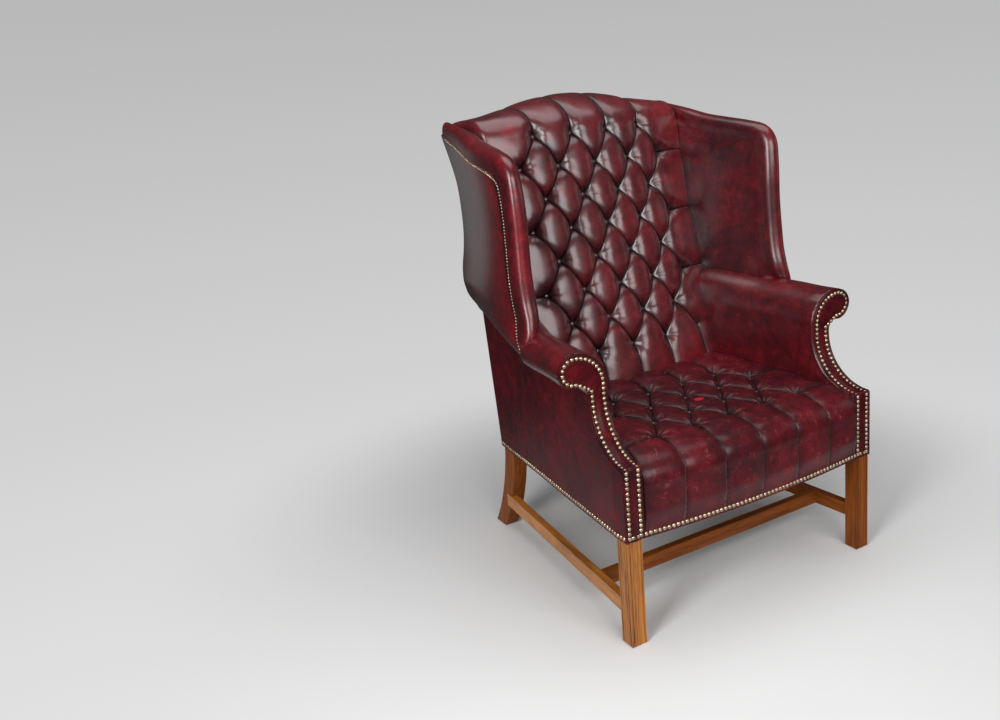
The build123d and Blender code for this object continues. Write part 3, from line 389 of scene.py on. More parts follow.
def buttoned(x, t, rows, pleats, rise, valley, hang, pucker=1.0):
    """Height over the base, shift towards the nearest pleat, painted shade, pillow, and a painted
    highlight with wear on fold lips.

    Distance to all pleats is the power mean (sum of d^-2)^(-1/2), which rounds the middle. With
    u that distance over 22 mm, a pillow is (u / (1 + u^2.5)^0.4)^0.62, steep at the pleat and
    round on top. A pleat itself rises from each button to 'valley' by 1 - exp(-(r/22)^2), where r
    is the distance to the button. Two rings of cosines of the angle round the button are its
    gathers, pucker scales them, and slow sine waves make the hide uneven."""
    total, near = np.zeros_like(x), np.full_like(x, 1e9)
    lean_x, lean_t = np.zeros_like(x), np.zeros_like(x)
    for xa, ta, xb, tb in pleats:
        share = ((x - xa) * (xb - xa) + (t - ta) * (tb - ta)) / ((xb - xa) ** 2 + (tb - ta) ** 2)
        share = np.clip(share, 0, 1)
        gap_x, gap_t = xa + share * (xb - xa) - x, ta + share * (tb - ta) - t
        gap = np.hypot(gap_x, gap_t) + 0.4
        total += gap ** -2.0
        closer = gap < near
        near = np.where(closer, gap, near)
        lean_x = np.where(closer, gap_x / gap, lean_x)
        lean_t = np.where(closer, gap_t / gap, lean_t)
    distance = total ** -0.5
    away, angle, which = np.full_like(x, 1e9), np.zeros_like(x), np.zeros_like(x)
    spots = [(bx, bt) for bt, row in rows for bx in row]
    for number, (bx, bt) in enumerate(spots):
        r = np.hypot(x - bx, t - bt)
        angle = np.where(r < away, np.arctan2(t - bt, x - bx), angle)
        which = np.where(r < away, number * 1.7, which)
        away = np.minimum(away, r)
    u = distance / 22.0
    pillow = 1.1 * (u / (1 + u ** 2.5) ** 0.4) ** 0.62
    floor = valley * (1 - np.exp(-(away / 22) ** 2))
    pulls = (0.45 * np.exp(-((away - 17) / 11) ** 2) * np.cos(11 * angle + which)
             + 0.45 * np.exp(-((away - 26) / 14) ** 2) * np.cos(7 * angle + 2 * which))
    waves = (0.9 * np.sin(x / 31 + 1.3 * np.sin(t / 43)) * np.sin(t / 27 + 0.8)
             + 0.35 * np.sin(x / 11 + t / 17) * np.sin(t / 13 - x / 29 + 2))
    height = floor + (rise - floor) * pillow + (pulls * pucker + waves) * pillow * np.minimum(
        rise / 20, 1)
    lip = near / 5.0  # the lean is largest 5 mm from the pleat
    shift = hang * lip * np.exp(0.5 - 0.5 * lip ** 2) * 0.6
    # Painted highlight on the lip beside a pleat; on the seat the ridges of the gathers are worn
    # pale.
    edge = np.exp(-((near - 3.6) / 1.7) ** 2) * np.clip(lean_x + lean_t, 0, 1) * step(away, 8, 30)
    ridge = step(np.cos(11 * angle + which), 0.82, 1) * np.exp(-((away - 20) / 9) ** 2)
    fold_highlight_and_wear = np.maximum(0.8 * edge, (pucker > 1) * ridge)
    # Painted shade: darker in the pleats and in the pits round the buttons.
    painted_shade = np.exp(-distance / 4.5) + 0.8 * np.exp(-(away / 13) ** 2)
    return height, lean_x * shift, lean_t * shift, np.clip(painted_shade, 0, 1), pillow, fold_highlight_and_wear

def pad_from(base, x, t, height, shift_x, shift_t, thick=6.0):
    """Front and hidden grids: the base lifted along its normals, and the base set back."""
    normals = outward(base(x, t))
    front = base(x + shift_x, t + shift_t) + normals * height[..., None]
    return front, base(x, t) - normals * thick

# %% [markdown]
# ## The back
# The back leans, curves in at its sides, and rolls over the camel crest to the rear. Its base is
# a plane with a little side curve, joined to a cubic over the crest. Eight staggered rows of
# buttons are set in diamonds 104 mm wide, and the top pleats run straight over the crest. The
# pad ends beside the wings, at a line that swells a little between the outer buttons. It could
# be sculpted, but on a base of formulas every button stays on its row.

# %% The base of the back
row_gap, first_row = 77.0, 1041.0  # the first row of buttons is the top one
over_crest, down_rear, back_end = 130.0, 70.0, 1300.0

def crest(x):
    """Height of the camel crest: 46 mm of a cosine hump over shoulders at 1090."""
    share = np.minimum(np.abs(x) / 311.0, 1)
    return 1090.0 + 23.0 * (1 + np.cos(np.pi * share ** 1.15))

def outside_back(z):
    """Depth of the outside back: it leans back 0.16 mm for each mm up."""
    return 653.0 + 0.16 * (z - rail_z)

def back_base(x, t):
    """Plane of the back up to the first row, a cubic over the crest, and a cubic down behind."""
    half = curve(t, [300, 900, first_row, first_row + over_crest, back_end],
                 [pad_half, pad_half, 307, 319, 333])
    x = x * half / pad_half
    z = np.minimum(t, first_row)
    depth = 478.7 + 0.29 * (z - 500) + 0.000397 * x ** 2
    top = crest(x)
    lip = step(np.abs(x), 200, 318)
    p = np.clip((t - first_row) / over_crest, 0, 1)
    q = np.clip((t - first_row - over_crest) / down_rear, 0, 1)

    def blend(s, a, ta, b, tb):
        """Cubic from a to b that leaves with slope ta and arrives with slope tb."""
        return ((2 * s ** 3 - 3 * s ** 2 + 1) * a + (s ** 3 - 2 * s ** 2 + s) * ta
                + (3 * s ** 2 - 2 * s ** 3) * b + (s ** 3 - s ** 2) * tb)

    apex = 733.0 + 6 * lip
    reach = 1 - 0.4 * lip
    rear, low = outside_back(top - 26), top - 26
    up_d = blend(p, depth, 34 * reach, apex, 105.0 * reach)
    up_z = blend(p, z, 118 * reach, top - 8, 0.0)
    down_d = blend(q, apex, 62.0, rear, -6.0)
    down_z = blend(q, top - 8, 0.0, low, -44.0)
    depth = np.where(t < first_row, depth, np.where(q > 0, down_d, up_d))
    z = np.where(t < first_row, z, np.where(q > 0, down_z, up_z))
    return np.stack([x, depth, z], -1)

# %% Buttons and pleats of the back
wide, narrow = (-208, -104, 0, 104, 208), (-156, -52, 52, 156)
back_rows = [(first_row - row_gap * k, narrow if k % 2 == 0 else wide) for k in range(7)]
back_rows.append((first_row - row_gap * 7, (-104, 0, 104)))
back_pleats = rows_of_pleats(back_rows)
back_pleats += [(x, first_row, x * 1.09, back_end) for x in narrow]
edge = [(395, 266), (500, 271), (600, 275), (750, 281), (900, 292), (1041, 304), (1075, 308)]
side_pleats = [(208, t, 292, t - 5) for t, row in back_rows[1:7:2]]
side_pleats += [(156, 579, 212, 505), (212, 505, 230, 395)]
back_pleats += left_and_right(side_pleats + outline(edge))
back_pleats += [(x, 502, x, 395) for x in (-104, 0, 104)]
back_pleats.append((-pad_half, 402, pad_half, 402))

# %% The back pad
x, t = lattice((-pad_half, pad_half, 281), (398, back_end - 59, 384))
rise = (41 - 30 * step(t, first_row + 5, first_row + over_crest) - 9 * step(t, 1180, 1240)
        - 3 * step(np.abs(x), 205, 250) * (1 - step(t, first_row - 70, first_row)))
swell = (9 * np.sin(np.pi * (t - first_row + row_gap) / (2 * row_gap)) ** 2
         * step(t, 560, 600) * (1 - step(t, 1000, 1050)))
bent = x - np.sign(x) * swell * step(np.abs(x), 215, 265)
height, shift_x, shift_t, painted_shade, pillow, fold_highlight_and_wear = buttoned(
    bent, t, back_rows, back_pleats, rise, np.minimum(23.0, rise * 0.55), 4.6)
line_t, line_x = zip(*edge)
beyond = np.abs(bent) - np.interp(t, line_t, line_x)
height = height * (1 - step(beyond, 0, 14)) * np.sqrt(
    np.clip(1 - np.maximum((np.abs(x) - 280) / 26.5, 0) ** 2, 0, 1))
front, behind = pad_from(back_base, x, t, height, shift_x, shift_t)
# Painted shade in the pleats and button pits, wear on the pillow tops, painted highlight on fold
# lips.
back_pad = closed_skin("back_pad", front, behind, back_leather,
                       {"painted_shade": painted_shade, "worn": pillow, "fold_highlight_and_wear": fold_highlight_and_wear})
upholster(back_pad, ["back_cushion", "back_stuffing"])

# %% [markdown]
# ## The seat
# The buttoned seat is tight: its leather goes over a round nose and straight down the bowed rail,
# where a row of nails holds it. Its base is one path carried across, moved forward in the middle
# by the bow of the rail. A bevelled box would have the nose as well, but not the bow. The front
# pleats run from the first buttons down to the nails.

# %% The base of the seat
nose, nose_run = 42.0, 66.0  # radius of the nose, and the length of leather round it

def bow(x):
    """Forward swell of the rail: 20 mm in the middle, none at the legs."""
    return 20.0 * (1 - np.minimum(np.abs(x) / 322.0, 1) ** 2)

def inside_x(depth):
    """Inner face of the padded arm beside the seat."""
    return curve(depth, [-60, 0, 124, 330, 480, 600], [311.7, 311.7, 303, 289, 254, 226])

def seat_base(x, t):
    """Up the rail for 118 mm, round a nose of 42 mm and back along the top, where t is the depth.
    At the rear it dips under the back."""
    s = t + 144.0 + bow(x)
    turn = np.clip((s - 118) / nose_run, 0, 1) * math.pi / 2
    depth = -2.0 - bow(x) + nose * (1 - np.cos(turn)) + np.maximum(s - 118 - nose_run, 0)
    z = rail_z + np.minimum(s, 118) + nose * np.sin(turn) - 26 * step(t, 445, 520)
    return np.stack([x, depth, z], -1)

# %% Buttons and pleats of the seat
seat_rows = [(90, wide), (172, narrow), (254, wide), (336, narrow)]
seat_pleats = rows_of_pleats(seat_rows)
seat_pleats += [(x, 90, x * 1.03, -150) for x in wide]
seat_pleats += [(x, 336, x * 0.97, 466) for x in narrow] + [(-290, 470, 290, 470)]
edge = [(-160, 311.7), (0, 311.7), (124, 303), (330, 289), (480, 254)]
side_pleats = [(208, 90, 306, 84), (208, 254, 295, 250)]
seat_pleats += left_and_right(side_pleats + outline(edge))

# %% The seat pad, with one bright rubbed spot
share, t = lattice((-1, 1, 291), (0, 1, 300))
hem_t = -142.0 - 2.0 - bow(share * 311.7)
t = hem_t + (505 - hem_t) * t
x = share * (inside_x(t) + 1.0)
up = t - hem_t
rise = (10 * step(up, 14, 60) + 3 * step(up, 100, 150) + 9 * step(t, 15, 70)
        + 9 * step(t, 310, 390))
height, shift_x, shift_t, painted_shade, pillow, fold_highlight_and_wear = buttoned(
    x, t, seat_rows, seat_pleats, rise, np.minimum(9.0, rise * 0.4), 2.2, 3.2)
shift_x, shift_t = shift_x * step(up, 14, 60), shift_t * step(up, 14, 60)
# Painted shade in the pleats and pits, weaker down the front. Fold lips get a painted highlight.
painted_shade = painted_shade * (0.15 + 0.85 * step(t, 20, 80))
front, behind = pad_from(seat_base, x, t, height, shift_x, shift_t, 5.0)
seat_pad = closed_skin("seat_pad", front, behind, seat_leather,
                       {"painted_shade": painted_shade * 0.8, "worn": pillow, "fold_highlight_and_wear": fold_highlight_and_wear,
                        "scuff": step(-np.hypot((x + 2) * 0.8, t - 197), -11, -8)})
upholster(seat_pad, ["seat_cushion"])

# %% [markdown]
# ## Buttons
# Each button is a metal shell in a scrap of the same leather, so it is a low dome with a rim. One
# dome is a profile turned round its axis, set down wherever pleats meet, square to the pad. Each
# could be an object of its own, but they are alike and never move, so one mesh holds them all.

# %% Domes set square to a surface
def domes(name, spots, normals, profile, turns, finish):
    """Copies of a turned profile of (radius, height) in millimetres, pole last. Each point is the
    spot plus the radius round the normal plus the height along it."""
    normals = unit(normals)
    guide = np.where(np.abs(normals[:, :1]) < 0.9, [[1.0, 0, 0]], [[0, 1.0, 0]])
    side = unit(np.cross(normals, guide))
    other = np.cross(normals, side)
    angles = np.linspace(0, 2 * np.pi, turns, endpoint=False)
    radius, height = np.array(profile, float).T
    ring = (np.cos(angles)[:, None] * side[:, None, None] + np.sin(angles)[:, None]
            * other[:, None, None])
    points = (spots[:, None, None] + radius[:, None, None] * ring
              + height[:, None, None] * normals[:, None, None])
    count = len(profile)
    points = points.reshape(len(spots), -1, 3)
    index = np.arange(count * turns).reshape(count, turns)
    every = tube(index) + (np.arange(len(spots)) * count * turns)[:, None, None]
    ends = [index[0, ::-1], index[-1]]
    caps = [(end + shift * count * turns).tolist() for shift in range(len(spots)) for end in ends]
    points = place(points.reshape(-1, 3))
    piece = make_mesh(name, points, every.reshape(-1, 4).tolist() + caps, finish)
    print(name, len(spots), "domes")
    return piece

button_profile = [(6.5, -4.0), (8.2, -1.0), (8.4, 0.6), (7.7, 2.4), (6.0, 4.0), (3.6, 5.1),
                  (1.2, 5.6)]

def button_places(base, rows, lift):
    """Where the buttons sit on a pad, with the normals there."""
    bx, bt = np.array([(x, t) for t, row in rows for x in row], float).T
    here = base(bx, bt)
    normal = unit(np.cross(base(bx + 1, bt) - base(bx - 1, bt),
                           base(bx, bt + 1) - base(bx, bt - 1)))
    return here + normal * lift, normal

button_leather = leather("button_leather", -0.04, 0.9)
for name, base, rows, lift in (("back", back_base, back_rows, 8.0),
                               ("seat", seat_base, seat_rows, 2.2)):
    spots, normals = button_places(base, rows, lift)
    piece = domes(name + "_buttons_covered", spots, normals, button_profile, 20, button_leather)
    upholster(piece, [name + "_buttons"])

# %% [markdown]
# ## Two lines that the arms and wings share
# The hem of the wing lies on the top line of the outside arm, so both read it from one function.
# The outer face of the wing hollows in towards the hem and swells above it, most of all near
# the front seam, where the padding is thickest.

# %% Hem line and outer face
def arm_top(depth):
    """Top line of the outside arm: under the scroll, then along the hem of the wing."""
    return curve(depth, [0, 126, 313, 500, 720], [540, 541, 557, 576, 603])

rear_z = [599, 603, 608, 622, 640, 654, 670, 687, 710, 730, 758, 800, 865, 950, 1000, 1050, 1090]
rear_x = [298, 302, 306, 313, 325, 333, 338, 341, 340, 337, 330, 322, 317, 319, 328, 338, 344]

def wing_outside(depth, z):
    """Outer face of the wing: a blend, by w from front to rear, of two upright profiles. Near the
    hem both are slid up or down so that they start from it. The swell is 125 w (1 - w)^2."""
    low = arm_top(depth)
    slide = 1 - step(z - low, 0, 130)
    fore = curve(z - (low - 557) * slide,
                 [552, 557, 562, 580, 600, 620, 640, 670, 700, 750, 850, 950, 1000, 1040, 1080],
                 [334, 352, 372, 393, 403, 404, 400, 395, 394, 395, 394, 396, 397, 395, 392])
    aft = curve(z + (603 - low) * slide, rear_z, rear_x)
    w = np.clip((depth - 330) / (outside_back(z) - 330), 0, 1)
    return fore + (aft - fore) * w + 125 * w * (1 - w) ** 2 * step(z - low, 10, 90)

# %% [markdown]
# ## Rolled arms
# The arm is a board with a round lobe outside it. One sheet of leather comes up the inner side,
# goes over the shoulder, round the lobe and under it. In section it is a straight line, an arc,
# most of a circle and a small hollow arc, and it is carried back from the front, which sweeps
# up and back in a quarter circle. Small gathers show where the leather turns in at the front.
# Towards the back the shoulder climbs a little, and under the wing the lobe draws in to fit it.
# A bevelled curve could carry a section too, but not one that changes on its way.

# %% Section of the arm
lobe_z, lobe_r, lobe_out = 600.0, 38.0, 32.0  # middle of the lobe, its radius, its overhang
notch_z, neck_z = 540.0, 555.0  # where the lobe meets the outer side, and where the shoulder starts

def side_x(depth):
    """Outer face of the side: 0.091 mm further in for each mm behind the leg."""
    return side_face - 0.09106 * np.maximum(depth - 38, 0)

def front_depth(z):
    """Front of the arm: upright to the knee, then a hollow quarter circle to the scroll."""
    rise = np.clip(z - knee, 0, scroll_depth)
    return np.sqrt(np.maximum(scroll_depth ** 2 - (scroll_depth - rise) ** 2, 0))

def lobe_at(angle):
    """Point of the lobe at an angle in degrees: its middle, plus its radius times the cosine
    across and the sine up, measured from the outer face of the side."""
    turn = np.radians(angle)
    return np.stack([lobe_out + lobe_r * np.cos(turn), lobe_z + lobe_r * np.sin(turn)], -1)

sweep = knee + scroll_depth * (1 - np.cos(np.linspace(0, np.pi / 2, 34)))
inner_rise = np.concatenate([[392, 402, 408], sweep, [545, 552]])
shoulder = arc((0, neck_z), (0.21 * 90, 612.3), (90, 637.4), 26)
lobe_angles = np.linspace(80, -110, 50)[1:]
lobe = lobe_at(lobe_angles)
low = lobe_at(-110)
hollow_arc = arc(low, (low[0] / 4, (notch_z + low[1]) / 2 + 2.5), (0, notch_z), 10)[1:]
share_out = np.concatenate([inner_rise * 0, shoulder[:, 0] / 90, lobe_angles * 0 + 1,
                            hollow_arc[:, 0] * 0 + 1])
offset = np.concatenate([inner_rise * 0, shoulder[:, 0] / 90 * 38.6, lobe[:, 0], hollow_arc[:, 0]])
section_z = np.concatenate([inner_rise, shoulder[:, 1], lobe[:, 1], hollow_arc[:, 1]])
print("arm section:", len(section_z), "points")

# %% Carry it back
angle = np.concatenate([inner_rise * 0 + 180, np.linspace(170, 85, len(shoulder)), lobe_angles,
                        hollow_arc[:, 0] * 0 - 120])
end = curve(-angle, [-200, -81, -60, -45, 130], [560, 540, 460, 430, 430])
start = np.where(section_z < notch_z - 4, front_depth(section_z), scroll_depth)
v = np.linspace(0, 1, 96) ** 1.35
depth = start[None, :] + (end - start)[None, :] * v[:, None]
x = inside_x(depth) * (1 - share_out) + side_x(depth) * share_out + offset
z = np.broadcast_to(section_z, x.shape)
z = z + 26 * step(depth, 330, 530) * (step(section_z, 555, 610) * (1 - 0.6 * share_out))[None, :]
under_wing = step(depth, 316, 350) * step(share_out[None, :], 0.75, 1)
lobe_x = side_x(depth) + lobe_out + lobe_r
x = x - under_wing * np.maximum(lobe_x - wing_outside(depth, np.full_like(depth, 605)) + 5, 0)
z = z + under_wing * (arm_top(depth) - 555)
base = np.stack([x, depth, z], -1)
out = -outward(base)
since = depth - start[None, :]
plump = 5 * np.sin(np.pi * np.clip((section_z - 400) / 240, 0, 1))[None, :] * step(since, 0, 40)
gathers = (1.1 * np.exp(-since / 20) * np.cos(angle / 2.6)[None, :]
           * step(section_z, 560, 600)[None, :])
waves = 0.8 * np.sin(depth / 33 + z / 21) * np.sin(z / 37 - depth / 57) * step(since, 4, 40)
tuck = -4 * np.exp(-(since / 3.0) ** 2)
front = base + out * (plump * (share_out < 0.9) + gathers + waves + tuck)[..., None]
behind = base - out * 6
# Painted shade where the leather tucks in at the front; the top of the arm is worn lighter.
values = {"painted_shade": 0.5 * np.exp(-since / 6), "worn": 0.2 + 0.4 * step(z, 590, 634)}
for side, mirror in both_sides:
    arm = closed_skin("arm_leather_" + side, front, behind, arm_leather, values, mirror)
    upholster(arm, ["inside_arm_" + side, "arm_roll_" + side])

# %% [markdown]
# ## Arm facings
# A narrow panel closes the front of each arm. It runs up from the rail, sweeps back with the arm
# and fills the face of the scroll. It is drawn as a strip between two edges: the inner one goes
# over the shoulder, the outer one under the lobe, and both end at the side of the lobe. A flat
# face cut to that outline would be simpler, but it could not have the bead along its edge.

# %% The two edges of a facing
def spread_along(points, count):
    """The same line with its points evenly spaced."""
    run = np.concatenate([[0], np.cumsum(np.linalg.norm(np.diff(points, axis=0), axis=1))])
    even = np.linspace(0, run[-1], count)
    return np.stack([np.interp(even, run, points[:, k]) for k in range(points.shape[1])], -1)

rise_z = np.concatenate([np.linspace(rail_z, knee - 0.01, 50), sweep])
rise_d = np.concatenate([np.zeros(50), scroll_depth * np.sin(np.linspace(0, np.pi / 2, 34))])
outer_x = side_face - 0.0636 * rise_d
scroll_side = side_face - 0.0636 * scroll_depth
inner_edge = np.concatenate([[(-48, 538)], arc((-48, neck_z), (-48 + 0.21 * 86.6, 612.3),
                                               (38.6, 637.4), 30),
                             lobe_at(np.linspace(76, 0, 16))]) + [scroll_side, 0]
outer_edge = np.concatenate([[(0, 538)], hollow_arc[::-1], lobe_at(np.linspace(-108, 0, 30))])
outer_edge = outer_edge + [scroll_side, 0]
inner_edge, outer_edge = spread_along(inner_edge, 70), spread_along(outer_edge, 70)
left = np.concatenate([np.stack([outer_x - 48, rise_d, rise_z], -1),
                       np.insert(inner_edge, 1, scroll_depth, axis=1)])
right = np.concatenate([np.stack([outer_x, rise_d, rise_z], -1),
                        np.insert(outer_edge, 1, scroll_depth, axis=1)])

# %% Fill between them
u = (1 - np.cos(np.linspace(0, np.pi, 31))) / 2
base = left[:, None] + (right - left)[:, None] * u[None, :, None]
width = np.maximum(np.linalg.norm(right - left, axis=1), 1e-6)[:, None]
inset = np.minimum(u, 1 - u)[None, :] * width
# It faces forward, but upward where the sweep starts, and turns forward again along it.
turn = np.concatenate([np.full(50, np.pi / 2), np.linspace(0, np.pi / 2, 34),
                       np.full(70, np.pi / 2)])[:, None]
out = np.zeros_like(base)
out[..., 1], out[..., 2] = -np.sin(turn), np.cos(turn)
bead = 2.2 * np.sqrt(np.clip(1 - ((inset - 1.8) / 2.0) ** 2, 0, 1))
swell = 2.0 * step(inset, 13, 22)
front = base + out * (2.0 + bead + swell)[..., None]
behind = base - out * 4
# Painted shade in the groove just inside the bead.
painted_shade = 0.5 * np.exp(-((inset - 4.2) / 1.2) ** 2)
for side, mirror in both_sides:
    panel = closed_skin("arm_front_" + side, front, behind, panel_leather, {"painted_shade": painted_shade},
                        mirror)
    upholster(panel, ["arm_facing_" + side])

# %% [markdown]
# ## Wings
# A wing is a slim board, padded inside, with a thick roll along its front and top edge, and plain
# leather outside. Four lines guide it: the crease where its inside meets arm and back, the middle
# of the roll, the seam behind the roll, and the outer hem. The surface is a chain of patches
# between them, so that one closed skin makes the whole wing. A tube laid on a board would be
# simpler, but its leather would not run on into the inner face. The inner patch meets the roll
# along its run. That pull is eased over many rows, or the leather would fold at the top corner.

# %% Guide lines of the right wing
crease = [(357, 326, 626), (352, 340, 627), (344, 365, 627), (334, 400, 626), (324, 430, 624),
          (300, 490, 620), (272, 545, 618), (262, 572, 672), (264, 590, 750), (268, 612, 835),
          (273, 630, 895), (280, 648, 950), (286, 662, 990), (293, 682, 1030), (300, 712, 1060),
          (310, 770, 1078)]
roll = [(401, 312, 603), (393, 311, 618), (384, 312, 640), (377, 319, 675), (376, 330, 720),
        (377, 337, 780), (376, 341, 850), (376, 342, 900), (378, 345, 950), (380, 352, 992),
        (377, 376, 1017), (367, 430, 1027), (355, 500, 1034), (344, 570, 1042), (333, 650, 1057),
        (329, 770, 1076)]
roll_r = [4, 10, 17, 18, 18, 18, 18, 18, 18, 18, 18, 18, 18, 18, 19, 16]
seam = [(318, 566), (322, 600), (338, 640), (344, 675), (354, 720), (361, 780), (365, 850),
        (366, 900), (370, 945), (380, 978), (404, 992), (440, 1001), (500, 1008), (570, 1016),
        (655, 1032), (776, 1056)]
hem = [(320, 557), (345, 559.5), (410, 566), (490, 574.5), (600, 587.5), (707, 601), (722, 680),
       (735, 760), (746, 830), (754, 880), (762, 930), (768, 965), (773, 1000), (778, 1030),
       (781, 1047), (783, 1060)]
wing_rows = 220
knot = np.arange(16.0)
s = np.linspace(0, 15, wing_rows)
crease, roll, seam, hem = (curve(s, knot, line) for line in (crease, roll, seam, hem))
roll_r = curve(s, knot, roll_r)[:, None]

# %% Patches between the guide lines
line = unit(np.gradient(roll[:, 1:], axis=0))
ahead = np.stack([line[:, 0] * 0, -line[:, 1], line[:, 0]], -1)
across = np.array([1.0, 0.0, 0.0])
# On its inner side the roll is this much fuller and blunter, apart from its two ends.
fuller, blunter = 9, 14
soft = (step(s, 1, 3) * (1 - step(s, 12, 15)))[:, None]
brow = roll - across * (roll_r + fuller * soft) - ahead * blunter * soft
w = np.linspace(0, 1, 44)[None, :, None]
span = (brow - crease)[:, None]
window = np.exp(-(np.arange(-40, 41) / 16.0) ** 2)
window /= window.sum()
eased = np.stack([np.convolve(np.pad(ahead[:, k], 40, mode="edge"), window, "valid")
                  for k in range(3)], -1)
reach = np.minimum(np.linalg.norm(span, axis=-1, keepdims=True) * 0.9, 120)
pull = eased[:, None] * reach
inner = (crease[:, None] + span * (3 * w ** 2 - 2 * w ** 3 + w ** 3 - 2 * w ** 2 + w)
         + pull * (w ** 3 - w ** 2))
bulge = 6 * np.sin(np.pi * w[..., 0]) ** 1.5 * step(np.arange(wing_rows), 0, 40)[:, None]
wrinkle = 0.9 * np.sin(inner[..., 2] / 17 + inner[..., 1] / 41) * np.sin(inner[..., 1] / 29)
inner[..., 0] -= bulge + wrinkle * np.sin(np.pi * w[..., 0])
theta = np.radians(np.linspace(-86, 0, 14))[None, :, None]
puff = roll_r[:, None]
soft = soft[:, None]
inner_half = (roll[:, None]
              + ahead[:, None] * ((puff + blunter * soft) * np.cos(theta) - blunter * soft)
              + across * (puff + fuller * soft) * np.sin(theta))
seam_3d = np.stack([wing_outside(seam[:, 0], seam[:, 1]), seam[:, 0], seam[:, 1]], -1)
theta = np.radians(np.linspace(0, 90, 24))[None, 1:, None]
gap = seam_3d - roll
along = (gap * ahead).sum(1)[:, None, None]
aside = (gap * across).sum(1)[:, None, None]
outer_half = (roll[:, None] + ahead[:, None] * (puff - (puff - along) * (1 - np.cos(theta)))
              + across * (aside * np.sin(theta) ** 0.85 + puff * 0.17 * np.sin(2 * theta)))
welt = 1.6 * np.exp(-((np.arange(1, 24) - 22) / 0.9) ** 2)[None, :, None]
outer_half += across * welt
w = np.linspace(0, 1, 60)[None, 1:]
outer_d = seam[:, :1] + (hem[:, :1] - seam[:, :1]) * w
outer_z = seam[:, 1:] + (hem[:, 1:] - seam[:, 1:]) * w
outer_x = wing_outside(outer_d, outer_z)
dip = 2.5 * np.exp(-(w * 25) ** 2)
folds = 1.6 * np.cos(s * 19)[:, None] * np.exp(-w * 14) * step(s, 9, 10.5)[:, None]
outer = np.stack([outer_x - dip + folds, outer_d, outer_z], -1)
front = np.concatenate([inner, inner_half, outer_half, outer], axis=1)
print("wing grid", front.shape)

# %% Both wings; columns 0-43 are the inner face, 44-80 the roll, 81-139 the outer face
columns = np.arange(front.shape[1])[None, :] + np.zeros((wing_rows, 1))
# Painted shade in the inner crease and the seam groove; the outer face is also made darker overall.
dark = (0.9 * np.exp(-((columns - 3) / 4.0) ** 2) + 0.8 * np.exp(-((columns - 82) / 0.8) ** 2)
        + 0.4 * step(columns, 95, 140))
worn = (0.9 * np.exp(-((columns - 62) / 9.0) ** 2) + 0.8 * np.exp(-((columns - 79) / 1.0) ** 2)
        + 0.9 * np.exp(-((columns - 84) / 16.0) ** 2) * (columns > 82))
middle = front[:, -1:] * 0.5 + front[:, :1] * 0.5
for side, mirror in both_sides:
    wing = closed_skin("wing_" + side, front, middle, arm_leather,
                       {"painted_shade": dark, "worn": worn}, mirror)
    upholster(wing, ["inside_wing_" + side, "wing_roll_" + side, "outside_wing_" + side])

# %% Small nails along the outer seam of the wings
tack_profile = [(2.5, -1.5), (2.6, 0.2), (1.7, 1.5), (0.4, 2.0)]
tack_line = spread_along(seam_3d - ahead * 3.5, 118)[4:-3]
for side, flip in (("right", 1), ("left", -1)):
    spots = tack_line * [flip, 1, 1]
    tacks = domes("wing_tacks_" + side, spots, np.tile([float(flip), 0, 0], (len(spots), 1)),
                  tack_profile, 8, brass)
    upholster(tacks, ["wing_nails_" + side])

# %% [markdown]
# ## Arm rails
# Under the roll a beech rail runs from the arm front to the back post. Behind the arm it narrows
# to stay inside the hollow of the wing. Its section is a rectangle with eased corners.

# %% Shaped arm rails
depth = np.linspace(127, 660, 60)[:, None]
turn = np.linspace(0, 2 * np.pi, 40, endpoint=False)[None, :]
outer = curve(depth, [126, 316, 400, 500, 661], [404, 384, 360, 326, 301])
inner_line = side_x(depth) - 36
eased = (np.abs(np.cos(turn)) ** 8 + np.abs(np.sin(turn)) ** 8) ** (-1 / 8)
rail = np.stack([(outer + inner_line) / 2 + (outer - inner_line) / 2 * eased * np.cos(turn),
                 depth + turn * 0, 589 + 11 * eased * np.sin(turn) + depth * 0], -1)
for side, mirror in both_sides:
    wood_rail = closed_skin("arm_rail_shaped_" + side, rail[:, :20], rail[:, :19:-1], beech["y"],
                            None, mirror)
    upholster(wood_rail, ["arm_rail_" + side])

# %% [markdown]
# ## Outside panels
# The outside of arms and back is one flat hide each, pulled tight over the frame. These are true
# sheets, so each is a surface with a thickness of leather, and its volume is printed.

# %% Outside arms
hide = 2.6  # thickness of the leather
v, w = lattice((0, 1, 90), (0, 1, 60))
rear = outside_back(rail_z + w * 350)

def panel_depth(z):
    """Depth of the grid's points: from the arm front at that height to the rear edge."""
    near = np.where(z < notch_z + 1, front_depth(z), scroll_depth)
    return near + (rear - near) * v

# The depth depends on the height and the height on the depth, so both are found in two turns.
z_now = rail_z + w * (arm_top(v * rear) - rail_z)
depth = panel_depth(z_now)
top = np.where(depth < scroll_depth, notch_z + 1, arm_top(depth) + 12 * step(depth, 320, 380))
z_now = rail_z + w * (top - rail_z)
depth = panel_depth(z_now)
panel = np.stack([side_x(depth) + 0.3, depth, z_now], -1)
sag = 0.7 * np.sin(depth / 61 + 1) * np.sin(z_now / 47)
front = panel + np.stack([sag, sag * 0, sag * 0], -1)
behind = panel - [hide, 0, 0]
for side, mirror in both_sides:
    sheet = closed_skin("arm_outside_" + side, front, behind, panel_leather, None, mirror)
    upholster(sheet, ["outside_arm_" + side])

# %% Outside back
u, w = lattice((-1, 1, 110), (0, 1, 100))

def back_half(z):
    """Half width of the outside back: the taper of the sides, and above the arms the rear edge of
    the wings, less up to 9 mm."""
    upper = curve(z, rear_z, rear_x) - 9 * step(z, 640, 700)
    return np.where(z < 603, side_x(outside_back(z)) + 0.3, upper)

